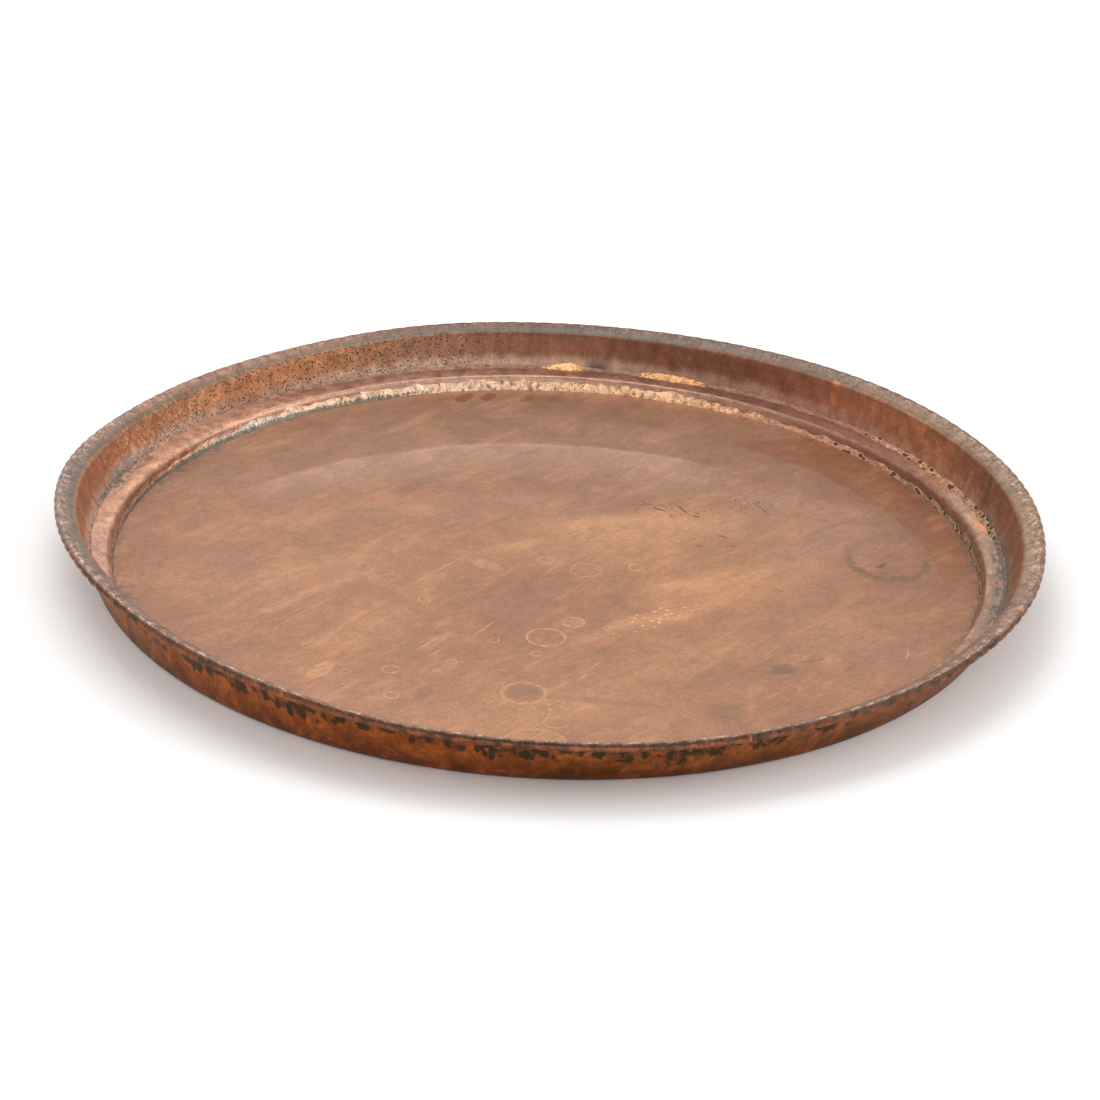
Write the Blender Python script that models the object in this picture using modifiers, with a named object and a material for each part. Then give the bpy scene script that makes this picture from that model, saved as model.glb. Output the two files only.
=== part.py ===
"""Hammered copper serving tray, built the way a coppersmith puts one together.

A flat floor disc lies on the in-turned foot of the wall. A step strip stands on the disc's margin
and reaches across to the wall, so the inside has a raised border. Brass spelter is run along both
edges of the strip. The wall's top is turned out as a lip and rolled round an iron wire.

The origin is on the ground, under the middle of the floor. Lengths are in metres, and +Z is up.
"""

import math

import bpy
from mathutils import Vector

# Overall sizes.
RIM_RADIUS = 0.400
TRAY_HEIGHT = 0.0515

# Sheet gauges, the rim wire and the gap kept between pieces that touch.
FLOOR_GAUGE = 0.0015
WALL_GAUGE = 0.0012
STEP_GAUGE = 0.0012
WIRE_RADIUS = 0.0017
CLEARANCE = 0.0003

# The wall: its lip, its lean from upright, its bow and the foot turned in below.
LIP_WIDTH = 0.0164
LIP_ANGLE = math.radians(22.0)
LIP_BEND_RADIUS = 0.0026
WALL_LEAN = math.radians(18.0)
WALL_BOW = 0.0008
FOOT_BEND_RADIUS = 0.0080
FOOT_WIDTH = 0.0185
ROLL_SWEEP = math.radians(286.0)

# The step strip inside: its rise above the floor, its ledge and the ledge's slope, and its riser.
STEP_HEIGHT = 0.0111
LEDGE_WIDTH = 0.0150
STEP_RUN = 0.0034
STEP_BEND_RADIUS = 0.0024
STEP_FLANGE = 0.0062
LEDGE_RISE = 0.0018

# The spelter runs, measured along the two faces that each one joins.
FLOOR_SPELTER_LEG = 0.0022
WALL_SPELTER_LEG = 0.0036
SPELTER_HOLLOW = 0.3

# How finely the round work is divided.
SEGMENTS = 80
WIRE_SEGMENTS = 8
ROLL_STEPS = 9
FOOT_BEND_STEPS = 4
LIP_BEND_STEPS = 2
STEP_BEND_STEPS = 2
WALL_STEPS = 4
SMOOTH_ANGLE = math.radians(40.0)
MERGE_DISTANCE = 0.0001

# Heights and radii that follow from the values above.
FLOOR_UNDERSIDE = WALL_GAUGE + CLEARANCE
FLOOR_TOP = FLOOR_UNDERSIDE + FLOOR_GAUGE
ROLL_RADIUS = WIRE_RADIUS + CLEARANCE + WALL_GAUGE / 2
ROLL_CENTRE = Vector(
    (
        RIM_RADIUS - ROLL_RADIUS - WALL_GAUGE / 2,
        TRAY_HEIGHT - ROLL_RADIUS - WALL_GAUGE / 2,
    )
)


def clear_scene():
    for item in list(bpy.data.objects):
        bpy.data.objects.remove(item, do_unlink=True)


def make_collection(name):
    collection = bpy.data.collections.new(name)
    bpy.context.scene.collection.children.link(collection)
    return collection


def make_material(name, colour, metallic, roughness):
    material = bpy.data.materials.new(name)
    material.use_nodes = True
    shader = material.node_tree.nodes["Principled BSDF"]
    shader.inputs["Base Color"].default_value = (*colour, 1.0)
    shader.inputs["Metallic"].default_value = metallic
    shader.inputs["Roughness"].default_value = roughness
    material.diffuse_color = (*colour, 1.0)
    return material


def direction(angle):
    return Vector((math.cos(angle), math.sin(angle)))


def arc(centre, radius, start, sweep, steps):
    """Points of an arc in the profile plane, both ends included."""
    angles = [start + sweep * step / steps for step in range(steps + 1)]
    return [centre + radius * direction(angle) for angle in angles]


def rounded_corner(before, corner, after, radius, steps):
    """Points that round the corner between two straight runs."""
    back = (before - corner).normalized()
    onward = (after - corner).normalized()
    half_angle = math.acos(back.dot(onward)) / 2
    centre = corner + (back + onward).normalized() * radius / math.sin(half_angle)
    first = corner + back * radius / math.tan(half_angle) - centre
    last = corner + onward * radius / math.tan(half_angle) - centre
    start = math.atan2(first.y, first.x)
    sweep = math.remainder(math.atan2(last.y, last.x) - start, math.tau)
    return arc(centre, radius, start, sweep, steps)


def wall_ends():
    """The wall's straight line, in mid-sheet: its top corner under the lip, and its bottom end."""
    along_lip = direction(LIP_ANGLE)
    roll_start = ROLL_CENTRE + ROLL_RADIUS * direction(LIP_ANGLE + math.pi / 2)
    top = roll_start - along_lip * (roll_start.x - RIM_RADIUS + LIP_WIDTH) / along_lip.x
    upward = direction(math.pi / 2 - WALL_LEAN)
    bend_bottom = WALL_GAUGE / 2 + FOOT_BEND_RADIUS * (1 - math.sin(WALL_LEAN))
    bottom = top - upward * (top.y - bend_bottom) / upward.y
    return top, bottom


def wall_mid_radius(height):
    """Radius of the wall's mid-sheet line at a height."""
    top, bottom = wall_ends()
    share = (height - bottom.y) / (top.y - bottom.y)
    return bottom.x + (top.x - bottom.x) * share + WALL_BOW * 4 * share * (1 - share)


def wall_inner_radius(height):
    """Radius of the wall's inner face at a height, as the flat-sided turned sheet has it."""
    return wall_mid_radius(height) - WALL_GAUGE / 2 / math.cos(WALL_LEAN)


def wall_outline():
    """Mid-sheet line of the wall, from the end of the rolled rim down to the edge of the foot."""
    top, bottom = wall_ends()
    roll_end = LIP_ANGLE + math.pi / 2 - ROLL_SWEEP
    roll = arc(ROLL_CENTRE, ROLL_RADIUS, roll_end, ROLL_SWEEP, ROLL_STEPS)
    shoulder = rounded_corner(roll[-1], top, bottom, LIP_BEND_RADIUS, LIP_BEND_STEPS)
    heights = [top.y + (bottom.y - top.y) * step / WALL_STEPS for step in range(1, WALL_STEPS)]
    side = [Vector((wall_mid_radius(height), height)) for height in heights]
    bend_centre = Vector(
        (bottom.x - FOOT_BEND_RADIUS * math.cos(WALL_LEAN), WALL_GAUGE / 2 + FOOT_BEND_RADIUS)
    )
    bend = arc(
        bend_centre, FOOT_BEND_RADIUS, -WALL_LEAN, WALL_LEAN - math.pi / 2, FOOT_BEND_STEPS
    )
    foot_edge = Vector((bend_centre.x - FOOT_WIDTH, WALL_GAUGE / 2))
    return roll + shoulder + side + bend + [foot_edge]


def foot_bend_start():
    """Radius at which the flat foot starts to bend up into the wall."""
    return wall_ends()[1].x - FOOT_BEND_RADIUS * math.cos(WALL_LEAN)


def step_corners():
    """Mid-sheet corners of the step strip: flange edge, foot of the riser, top of it, ledge edge."""
    base = FLOOR_TOP + CLEARANCE + STEP_GAUGE / 2
    ledge = FLOOR_TOP + STEP_HEIGHT - STEP_GAUGE / 2
    outer_height = ledge + LEDGE_RISE
    reach = wall_inner_radius(outer_height - STEP_GAUGE / 2) - CLEARANCE
    riser_top = Vector((reach - LEDGE_WIDTH, ledge))
    riser_foot = Vector((riser_top.x - STEP_RUN, base))
    flange_edge = Vector((riser_foot.x + STEP_FLANGE, base))
    return flange_edge, riser_foot, riser_top, Vector((reach, outer_height))


def step_outline():
    """Mid-sheet line of the step strip, from the ledge's outer edge down to the flange's."""
    flange_edge, riser_foot, riser_top, ledge_edge = step_corners()
    top_bend = rounded_corner(
        ledge_edge, riser_top, riser_foot, STEP_BEND_RADIUS, STEP_BEND_STEPS
    )
    foot_bend = rounded_corner(
        riser_top, riser_foot, flange_edge, STEP_GAUGE, STEP_BEND_STEPS
    )
    return [ledge_edge] + top_bend + foot_bend + [flange_edge]


def add_profile_object(name, outline, closed, collection):
    """A mesh of edges along an outline, in the XZ plane on the +X side."""
    count = len(outline)
    edges = [(index, index + 1) for index in range(count - 1)]
    if closed:
        edges.append((count - 1, 0))
    mesh = bpy.data.meshes.new(name)
    mesh.from_pydata([(point.x, 0.0, point.y) for point in outline], edges, [])
    piece = bpy.data.objects.new(name, mesh)
    collection.objects.link(piece)
    return piece


def turn(piece):
    """Turns a profile once round the tray's axis."""
    screw = piece.modifiers.new("turn", "SCREW")
    screw.axis = "Z"
    screw.angle = math.tau
    screw.steps = SEGMENTS
    screw.render_steps = SEGMENTS
    screw.use_merge_vertices = True
    screw.merge_threshold = MERGE_DISTANCE
    screw.use_smooth_shade = True


def turned_sheet(name, outline, gauge, material, collection):
    """A sheet of even gauge, turned from its mid-sheet line."""
    piece = add_profile_object(name, outline, False, collection)
    turn(piece)
    wall = piece.modifiers.new("gauge", "SOLIDIFY")
    wall.thickness = gauge
    wall.offset = 0.0
    wall.use_even_offset = True
    piece.data.materials.append(material)
    return piece


def turned_ring(name, outline, material, collection):
    """A solid ring, turned from a closed outline whose outer side runs downwards."""
    piece = add_profile_object(name, outline, True, collection)
    turn(piece)
    piece.data.materials.append(material)
    return piece


def move_to(piece, collection):
    for owner in list(piece.users_collection):
        owner.objects.unlink(piece)
    collection.objects.link(piece)


def shade_round(piece):
    piece.data.shade_smooth()
    piece.data.set_sharp_from_angle(angle=SMOOTH_ANGLE)


def make_floor_disc(material, collection):
    edge = foot_bend_start() - CLEARANCE
    bpy.ops.mesh.primitive_cylinder_add(
        vertices=SEGMENTS,
        radius=edge,
        depth=FLOOR_GAUGE,
        location=(0.0, 0.0, FLOOR_UNDERSIDE + FLOOR_GAUGE / 2),
    )
    piece = bpy.context.active_object
    piece.name = "floor_disc"
    piece.data.name = "floor_disc"
    shade_round(piece)
    piece.data.materials.append(material)
    move_to(piece, collection)
    return piece


def make_rim_wire(material, collection):
    bpy.ops.mesh.primitive_torus_add(
        major_segments=SEGMENTS,
        minor_segments=WIRE_SEGMENTS,
        major_radius=ROLL_CENTRE.x,
        minor_radius=WIRE_RADIUS,
        location=(0.0, 0.0, ROLL_CENTRE.y),
    )
    piece = bpy.context.active_object
    piece.name = "rim_wire"
    piece.data.name = "rim_wire"
    shade_round(piece)
    piece.data.materials.append(material)
    move_to(piece, collection)
    return piece


def belly_point(heel, toe, crest):
    """The middle of a spelter run's hollow face, between its heel and the line from toe to crest."""
    chord_middle = (toe + crest) / 2
    return chord_middle.lerp(heel, SPELTER_HOLLOW)


def make_floor_spelter(material, collection):
    """The brass run in the corner between the floor and the foot of the riser."""
    riser_foot, riser_top = step_corners()[1:3]
    slope = (riser_top - riser_foot).normalized()
    inward = Vector((-slope.y, slope.x))
    base = FLOOR_TOP + CLEARANCE
    riser_face = riser_foot + inward * (STEP_GAUGE / 2 + CLEARANCE)
    bend_top = riser_foot.y + STEP_GAUGE / 2 + CLEARANCE
    heel = riser_face + slope * (bend_top - riser_face.y) / slope.y
    crest = heel + slope * FLOOR_SPELTER_LEG
    toe = Vector((heel.x - FLOOR_SPELTER_LEG, base))
    back = Vector((riser_foot.x - STEP_GAUGE / 2 - CLEARANCE, base))
    outline = [crest, heel, back, toe, belly_point(back, toe, crest)]
    return turned_ring("floor_spelter", outline, material, collection)


def make_wall_spelter(material, collection):
    """The brass run in the corner between the ledge and the wall."""
    riser_top, ledge_edge = step_corners()[2:4]
    slope = (ledge_edge - riser_top).normalized()
    upward = Vector((-slope.y, slope.x))
    bed = ledge_edge + upward * (STEP_GAUGE / 2 + CLEARANCE)
    heel = Vector((wall_inner_radius(bed.y) - CLEARANCE, bed.y))
    crest_height = bed.y + WALL_SPELTER_LEG
    crest = Vector((wall_inner_radius(crest_height) - CLEARANCE, crest_height))
    toe = bed - slope * WALL_SPELTER_LEG
    outline = [crest, heel, toe, belly_point(heel, toe, crest)]
    return turned_ring("wall_spelter", outline, material, collection)


def main():
    clear_scene()
    tray = make_collection("hammered_copper_tray")
    floor_copper = make_material("floor_copper", (0.45, 0.22, 0.14), 1.0, 0.45)
    wall_copper = make_material("wall_copper", (0.33, 0.13, 0.06), 1.0, 0.50)
    step_copper = make_material("step_copper", (0.42, 0.20, 0.13), 1.0, 0.45)
    spelter_brass = make_material("spelter_brass", (0.62, 0.38, 0.13), 1.0, 0.45)
    wire_iron = make_material("wire_iron", (0.12, 0.10, 0.09), 1.0, 0.70)
    make_floor_disc(floor_copper, tray)
    turned_sheet("step_strip", step_outline(), STEP_GAUGE, step_copper, tray)
    turned_sheet("wall_sheet", wall_outline(), WALL_GAUGE, wall_copper, tray)
    make_floor_spelter(spelter_brass, tray)
    make_wall_spelter(spelter_brass, tray)
    make_rim_wire(wire_iron, tray)


main()
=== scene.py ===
"""Looks of a hammered copper serving tray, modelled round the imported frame.

Each sheet is drawn out from a ring or a plate, hammered, let settle into its hand-made shape and then
given its gauge. Lengths are in metres and +Z is up. Angles run from +X, over the far side at +Y.
"""

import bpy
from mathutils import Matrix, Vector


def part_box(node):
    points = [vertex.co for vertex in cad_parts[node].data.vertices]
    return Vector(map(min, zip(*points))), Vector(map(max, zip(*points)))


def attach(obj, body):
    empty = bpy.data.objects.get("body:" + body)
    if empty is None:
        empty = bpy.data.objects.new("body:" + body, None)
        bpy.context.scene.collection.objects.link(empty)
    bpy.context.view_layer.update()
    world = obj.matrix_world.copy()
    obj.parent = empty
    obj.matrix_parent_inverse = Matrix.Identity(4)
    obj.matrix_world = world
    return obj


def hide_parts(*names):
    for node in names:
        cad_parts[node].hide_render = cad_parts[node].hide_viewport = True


bl_info = {
    "name": "Hammered Copper Tray",
    "version": (1, 0, 0),
    "blender": (4, 5, 0),
    "location": "3D View > Sidebar > Tray",
    "description": "Models a hammered copper serving tray round its fixed frame",
    "category": "Add Mesh",
}

import math
import random

import bpy
import numpy as np
from mathutils import Matrix, Vector, noise

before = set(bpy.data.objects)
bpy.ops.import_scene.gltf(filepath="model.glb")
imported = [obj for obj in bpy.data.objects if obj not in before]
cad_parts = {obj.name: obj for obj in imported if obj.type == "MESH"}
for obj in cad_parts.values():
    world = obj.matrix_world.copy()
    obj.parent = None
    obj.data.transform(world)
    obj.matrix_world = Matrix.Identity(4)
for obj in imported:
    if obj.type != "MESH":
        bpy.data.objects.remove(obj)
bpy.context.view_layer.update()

MM = 0.001
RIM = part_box("wall_sheet")[1]
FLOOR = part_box("floor_disc")[1]
STEP_LOW, STEP_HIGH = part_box("step_strip")
WIRE_LOW, WIRE_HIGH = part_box("rim_wire")


# ---------------------------------------------------------------- sizes and colours a user may change


def length(name, description, default):
    return bpy.props.FloatProperty(
        name=name, description=description, default=default, min=0.0, unit="LENGTH"
    )


def turn(name, description, degrees):
    return bpy.props.FloatProperty(
        name=name, description=description, default=math.radians(degrees), subtype="ANGLE"
    )


def colour(name, description, default):
    return bpy.props.FloatVectorProperty(
        name=name, description=description, default=default, subtype="COLOR", min=0.0, max=1.0
    )


class TraySizes(bpy.types.PropertyGroup):
    """Sizes of the tray's sheets and of the hammer work on them."""

    wall_gauge: length("Wall gauge", "Thickness of the wall's sheet", 1.2 * MM)
    floor_gauge: length("Floor gauge", "Thickness of the floor's sheet", 1.5 * MM)
    step_gauge: length("Step gauge", "Thickness of the step strip", 1.2 * MM)
    lip_width: length("Lip width", "From the wall to the outer edge of the rim", 16.4 * MM)
    lip_angle: turn("Lip angle", "Rise of the lip from level", 22.0)
    wall_lean: turn("Wall lean", "Lean of the wall from upright", 18.0)
    wall_bow: length("Wall bow", "How far the wall's middle stands out", 0.8 * MM)
    lip_bend: length("Lip bend", "Radius of the bend under the lip", 2.6 * MM)
    foot_bend: length("Foot bend", "Radius of the bend at the foot", 8.0 * MM)
    foot_width: length("Foot width", "Width of the foot turned in below", 18.5 * MM)
    ledge_width: length("Ledge width", "Width of the step's ledge", 15.0 * MM)
    crimps: bpy.props.IntProperty(
        name="Crimps", description="Hammered notches round the rim", default=160, min=3
    )
    crimp_depth: length("Crimp depth", "How far the roll swells between notches", 1.0 * MM)
    hammer_depth: length("Hammer depth", "Depth of the hammer marks on the wall", 0.45 * MM)


class TrayColours(bpy.types.PropertyGroup):
    """Colours of the tray's finishes."""

    scuff: colour("Scuff", "Bright copper where the floor is rubbed", (0.66, 0.35, 0.20))
    dug: colour("Dug", "Dark bottoms of the nicks in the floor", (0.17, 0.085, 0.055))
    ring: colour("Ring", "Marks that cups and pans left on the floor", (0.72, 0.39, 0.21))
    red_oxide: colour("Red oxide", "Smooth red-brown oxide", (0.25, 0.105, 0.06))
    dark_stain: colour("Dark stain", "Dark grey stains on the floor", (0.23, 0.145, 0.10))
    verdigris: colour("Verdigris", "Grey-green patina in the corners", (0.150, 0.155, 0.125))
    soot: colour("Soot", "Black-green grime under the rim", (0.022, 0.028, 0.018))
    brass: colour("Brass", "Clean spelter", (0.86, 0.50, 0.25))
    iron: colour("Iron", "The wire in the rim", (0.09, 0.075, 0.065))
    stage: colour("Stage", "The plain floor under the tray", (0.9, 0.9, 0.9))


# ---------------------------------------------------------------- the settled, hand-made shape


def waves(angle, terms):
    """Sum of waves round the tray. Each term is count, height in millimetres and degrees of its crest."""
    total = np.zeros_like(angle)
    for count, height, crest in terms:
        total += height * MM * np.cos(count * (angle - math.radians(crest)))
    return total


RIM_SPREAD = [(2, 4.7, -51), (3, 1.0, 13), (4, 1.3, -3), (5, 0.4, 40), (9, 0.25, 10), (13, 0.2, 5)]
RIM_LIFT = [(2, 5.5, 34), (3, 1.6, -28), (4, 0.8, 19), (5, 0.6, -30), (8, 0.3, 14), (11, 0.25, 9)]
FOOT_SPREAD = [(2, 2.8, -56), (3, 0.9, 39)]
WALL_START = 6.0 * MM
WALL_END = 45.8 * MM
LIP_DIP = 3.0 * MM
WALL_REACH = 380 * MM
STEP_REACH = 360 * MM

# How finely the pieces are divided: columns of the floor and of a notch, and segments of the rings.
FLOOR_COLUMNS = 212
NOTCH_COLUMNS = 7
STEP_SEGMENTS = 760
BEAD_SEGMENTS = 1100
WIRE_SEGMENTS = 256


def settle(angle, radius, height, share=1.0):
    """Moves points of the round sheet to where the hand-made tray has them."""
    climb = np.clip((height - WALL_START) / (WALL_END - WALL_START), 0, 1)
    spread = waves(angle, FOOT_SPREAD) * (1 - climb) + waves(angle, RIM_SPREAD) * climb
    lift = waves(angle, RIM_LIFT) * climb**1.4
    return radius + spread * share, height + lift * share


def grain(points, size, seed=0.0):
    """Smooth noise at each point, from about -1 to 1, for features of a size in metres."""
    shift = Vector((seed * 3.7, seed * 1.9, seed * 5.3))
    return np.array([noise.noise(Vector(p) / size + shift) for p in points])


def facets(points, size, seed=0.0):
    """Bowl-shaped hammer marks: 0 on the ridges between the blows and 1 in the middle of each."""
    shift = Vector((seed * 2.3, seed * 4.1, seed * 1.7))
    near = np.array([noise.voronoi(Vector(p) / size + shift)[0][0] for p in points])
    return 1 - np.clip(near / 0.75, 0, 1) ** 2


def ease(value, low, high):
    share = np.clip((value - low) / (high - low), 0, 1)
    return share * share * (3 - 2 * share)


def round_keys(angle, keys):
    """Colour at each angle, between keys of degrees, red, green and blue."""
    degrees = np.degrees(angle) % 360
    places, *channels = zip(*keys)
    return np.stack([np.interp(degrees, places, channel, period=360) for channel in channels], axis=1)


def lay_over(under, over, share):
    share = np.clip(share, 0, 1)[:, None]
    return np.asarray(under) * (1 - share) + np.asarray(over) * share


# ---------------------------------------------------------------- modelling by operators


def start_alone():
    if bpy.context.object is not None and bpy.context.object.mode != "OBJECT":
        bpy.ops.object.mode_set(mode="OBJECT")
    bpy.ops.object.select_all(action="DESELECT")


def name_piece(name):
    piece = bpy.context.active_object
    piece.name = name
    piece.data.name = name
    return piece


def draw_ring(name, outline, segments):
    """A sheet drawn out ring by ring from a hoop, through the outline's radii and heights."""
    start_alone()
    radius, height = outline[0]
    bpy.ops.mesh.primitive_circle_add(vertices=segments, radius=radius)
    piece = name_piece(name)
    bpy.ops.object.mode_set(mode="EDIT")
    bpy.ops.mesh.select_all(action="SELECT")
    bpy.ops.transform.translate(value=(0, 0, height))
    for next_radius, next_height in outline[1:]:
        bpy.ops.mesh.extrude_region_move(
            TRANSFORM_OT_translate={"value": (0, 0, next_height - height)}
        )
        ratio = next_radius / radius
        bpy.ops.transform.resize(value=(ratio, ratio, 1), center_override=(0, 0, 0))
        radius, height = next_radius, next_height
    bpy.ops.object.mode_set(mode="OBJECT")
    return piece


def points_of(piece):
    points = np.empty(len(piece.data.vertices) * 3)
    piece.data.vertices.foreach_get("co", points)
    return points.reshape(-1, 3)


def set_points(piece, points):
    piece.data.vertices.foreach_set("co", np.asarray(points, np.float32).ravel())
    piece.data.update()


def round_points(angle, radius, height):
    return np.stack([radius * np.cos(angle), radius * np.sin(angle), height], axis=1)


def set_round(piece, angle, radius, height):
    set_points(piece, round_points(angle, radius, height))


def rows_of(points, outline):
    """Which row of the outline each point belongs to, with its angle."""
    radius = np.hypot(points[:, 0], points[:, 1])
    rows = np.asarray(outline)
    gaps = (radius[:, None] - rows[None, :, 0]) ** 2 + (points[:, 2][:, None] - rows[None, :, 1]) ** 2
    return np.argmin(gaps, axis=1), np.arctan2(points[:, 1], points[:, 0])


def paint(piece, name, colours):
    layer = piece.data.attributes.new(name, "FLOAT_COLOR", "POINT")
    full = np.ones((len(colours), 4), np.float32)
    full[:, :3] = np.clip(colours, 0, 1)
    layer.data.foreach_set("color", full.ravel())


def mark(piece, name, values):
    layer = piece.data.attributes.new(name, "FLOAT", "POINT")
    layer.data.foreach_set("value", np.asarray(values, np.float32))


def mark_place(piece, angle, reach, along):
    """A place on the unrolled sheet that joins up with itself round the tray."""
    layer = piece.data.attributes.new("place", "FLOAT_VECTOR", "POINT")
    places = round_points(angle, reach, along)
    layer.data.foreach_set("vector", np.asarray(places, np.float32).ravel())


def edit_all(operator, **settings):
    """Runs a mesh operator on all of the active piece."""
    bpy.ops.object.mode_set(mode="EDIT")
    bpy.ops.mesh.select_all(action="SELECT")
    operator(**settings)
    bpy.ops.object.mode_set(mode="OBJECT")


def smooth(piece, degrees):
    """Shades the piece smooth, apart from edges sharper than an angle."""
    start_alone()
    piece.select_set(True)
    bpy.context.view_layer.objects.active = piece
    bpy.ops.object.shade_smooth_by_angle(angle=math.radians(degrees))


def face_inwards(piece, sample):
    """Turns the sheet so that its first side is the one towards the axis, or the top."""
    face = min(piece.data.polygons, key=lambda f: (f.center - sample).length)
    inward = Vector((-face.center.x, -face.center.y, 0.5)).normalized()
    if face.normal.dot(inward) < 0:
        edit_all(bpy.ops.mesh.flip_normals)


def make_sheet(piece, gauge, finishes):
    """Gives the drawn sheet its gauge. The first finish is inside, the second outside."""
    for finish in finishes:
        piece.data.materials.append(finish)
    thick = piece.modifiers.new("gauge", "SOLIDIFY")
    thick.thickness = gauge
    thick.offset = 0.0
    thick.use_even_offset = True
    thick.material_offset = 1
    thick.material_offset_rim = 1
    bpy.context.view_layer.objects.active = piece
    bpy.ops.object.modifier_apply(modifier=thick.name)
    smooth(piece, 50)


def fit_to_frame(piece, node):
    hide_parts(node)
    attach(piece, "root")


# ---------------------------------------------------------------- finishes


class Finish:
    """A metal finish, built up from layers of colour over the colour so far."""

    def __init__(self, name, metallic=1.0, roughness=0.5, colour=None):
        self.material = bpy.data.materials.new(name)
        self.material.use_nodes = True
        self.tree = self.material.node_tree
        self.shader = self.tree.nodes["Principled BSDF"]
        self.shader.inputs["Metallic"].default_value = metallic
        self.shader.inputs["Roughness"].default_value = roughness
        self.height = None
        self.colour = self.painted(colour) if colour else None

    def node(self, kind, *values, **settings):
        """A node with these settings, and these values in its first sockets."""
        made = self.tree.nodes.new(kind)
        for key, value in settings.items():
            setattr(made, key, value)
        for socket, value in zip(made.inputs, values):
            self.feed(socket, value)
        return made

    def feed(self, socket, value):
        if isinstance(value, bpy.types.NodeSocket):
            self.tree.links.new(value, socket)
        elif hasattr(value, "__len__") and len(value) == 3 and socket.type == "RGBA":
            socket.default_value = (*value, 1.0)
        else:
            socket.default_value = value

    def space(self):
        return self.node("ShaderNodeTexCoord").outputs["Object"]

    def painted(self, name, output="Color"):
        return self.node("ShaderNodeAttribute", attribute_name=name).outputs[output]

    def marked(self, name):
        return self.painted(name, "Fac")

    def vector_math(self, operation, *values):
        return self.node("ShaderNodeVectorMath", *values, operation=operation)

    def laid(self, vector, scale=(1, 1, 1), turned=0.0, at=(0, 0, 0)):
        """Coordinates measured from a point, along axes turned about +Z, and then scaled."""
        mapper = self.node("ShaderNodeMapping", self.vector_math("SUBTRACT", vector, at).outputs[0])
        mapper.inputs["Rotation"].default_value = (0, 0, -math.radians(turned))
        return self.vector_math("MULTIPLY", mapper.outputs[0], scale).outputs[0]

    def noise(self, vector, size, detail=3.0, rough=0.5, warp=0.0):
        maker = self.node("ShaderNodeTexNoise", vector)
        maker.inputs["Scale"].default_value = 1 / size
        maker.inputs["Detail"].default_value = detail
        maker.inputs["Roughness"].default_value = rough
        maker.inputs["Distortion"].default_value = warp
        return maker.outputs["Fac"]

    def cells(self, vector, size, feature="F1"):
        maker = self.node("ShaderNodeTexVoronoi", vector, feature=feature)
        maker.inputs["Scale"].default_value = 1 / size
        return maker.outputs["Distance"]

    def math(self, operation, *values):
        return self.node("ShaderNodeMath", *values, operation=operation).outputs[0]

    def times(self, first, second):
        return self.math("MULTIPLY", first, second)

    def plus(self, first, second):
        return self.math("ADD", first, second)

    def step(self, value, low, high, to_low=0.0, to_high=1.0):
        """Eases from one value to another as the input goes from low to high."""
        values = (value, low, high, to_low, to_high)
        return self.node("ShaderNodeMapRange", *values, interpolation_type="SMOOTHSTEP").outputs[0]

    def mix(self, share, under, over, blend="MIX"):
        maker = self.node("ShaderNodeMix", share, data_type="RGBA", blend_type=blend)
        self.feed(maker.inputs[6], under)
        self.feed(maker.inputs[7], over)
        return maker.outputs[2]

    def lay(self, share, over, strength=None):
        """Lays another colour over the colour so far."""
        share = share if strength is None else self.times(share, strength)
        self.colour = self.mix(share, self.colour, over)

    def vary(self, value, dark, light, low=0.3, high=0.7):
        """Darkens and lightens the colour so far by a noise value, and returns it."""
        amount = self.step(value, low, high, dark, light)
        grey = self.node("ShaderNodeCombineColor", amount, amount, amount)
        self.colour = self.mix(1.0, self.colour, grey.outputs[0], "MULTIPLY")
        return self.colour

    def axes(self, vector):
        return self.node("ShaderNodeSeparateXYZ", vector).outputs

    def distance(self, vector, point):
        return self.vector_math("DISTANCE", vector, point).outputs["Value"]

    def size_of(self, vector):
        return self.vector_math("LENGTH", vector).outputs["Value"]

    def relief(self, value, depth):
        """Adds fine relief of a depth in metres."""
        deep = self.times(value, depth)
        self.height = deep if self.height is None else self.plus(self.height, deep)

    def done(self, roughness=None):
        self.feed(self.shader.inputs["Base Color"], self.colour)
        if roughness is not None:
            self.feed(self.shader.inputs["Roughness"], roughness)
        bump = self.node("ShaderNodeBump")
        bump.inputs["Strength"].default_value = 1.0
        bump.inputs["Distance"].default_value = 1.0
        self.feed(bump.inputs["Height"], self.height)
        self.feed(self.shader.inputs["Normal"], bump.outputs[0])
        return self.material


# Rings left on the floor: x, y, radius, line width in millimetres, and strength.
FLOOR_RINGS = [
    (2, -149, 15, 1.4, 0.7),
    (23, -121, 8.4, 1.3, 0.65),
    (32, -26, 12.2, 1.3, 0.5),
    (73, -18, 5.9, 1.3, 0.7),
    (-1, -10, 6.3, 1.2, 0.5),
    (-13, -243, 16.5, 2.2, 0.45),
    (-115, -213, 6.4, 1.3, 0.55),
    (-5, -177, 4.2, 1.2, 0.65),
    (-38, -157, 3.8, 1.2, 0.6),
    (-69, -197, 3.8, 1.2, 0.45),
    (-150, -164, 10, 1.4, 0.3),
    (-149, -219, 3.6, 1.2, 0.4),
    (-112, -255, 5.4, 1.5, 0.5),
    (12, -287, 9, 1.7, 0.4),
    (-3, -323, 24, 2, 0.45),
    (106, 62, 4, 1.2, 0.3),
    (-96, -92, 4.5, 1.5, 0.5),
]
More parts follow.
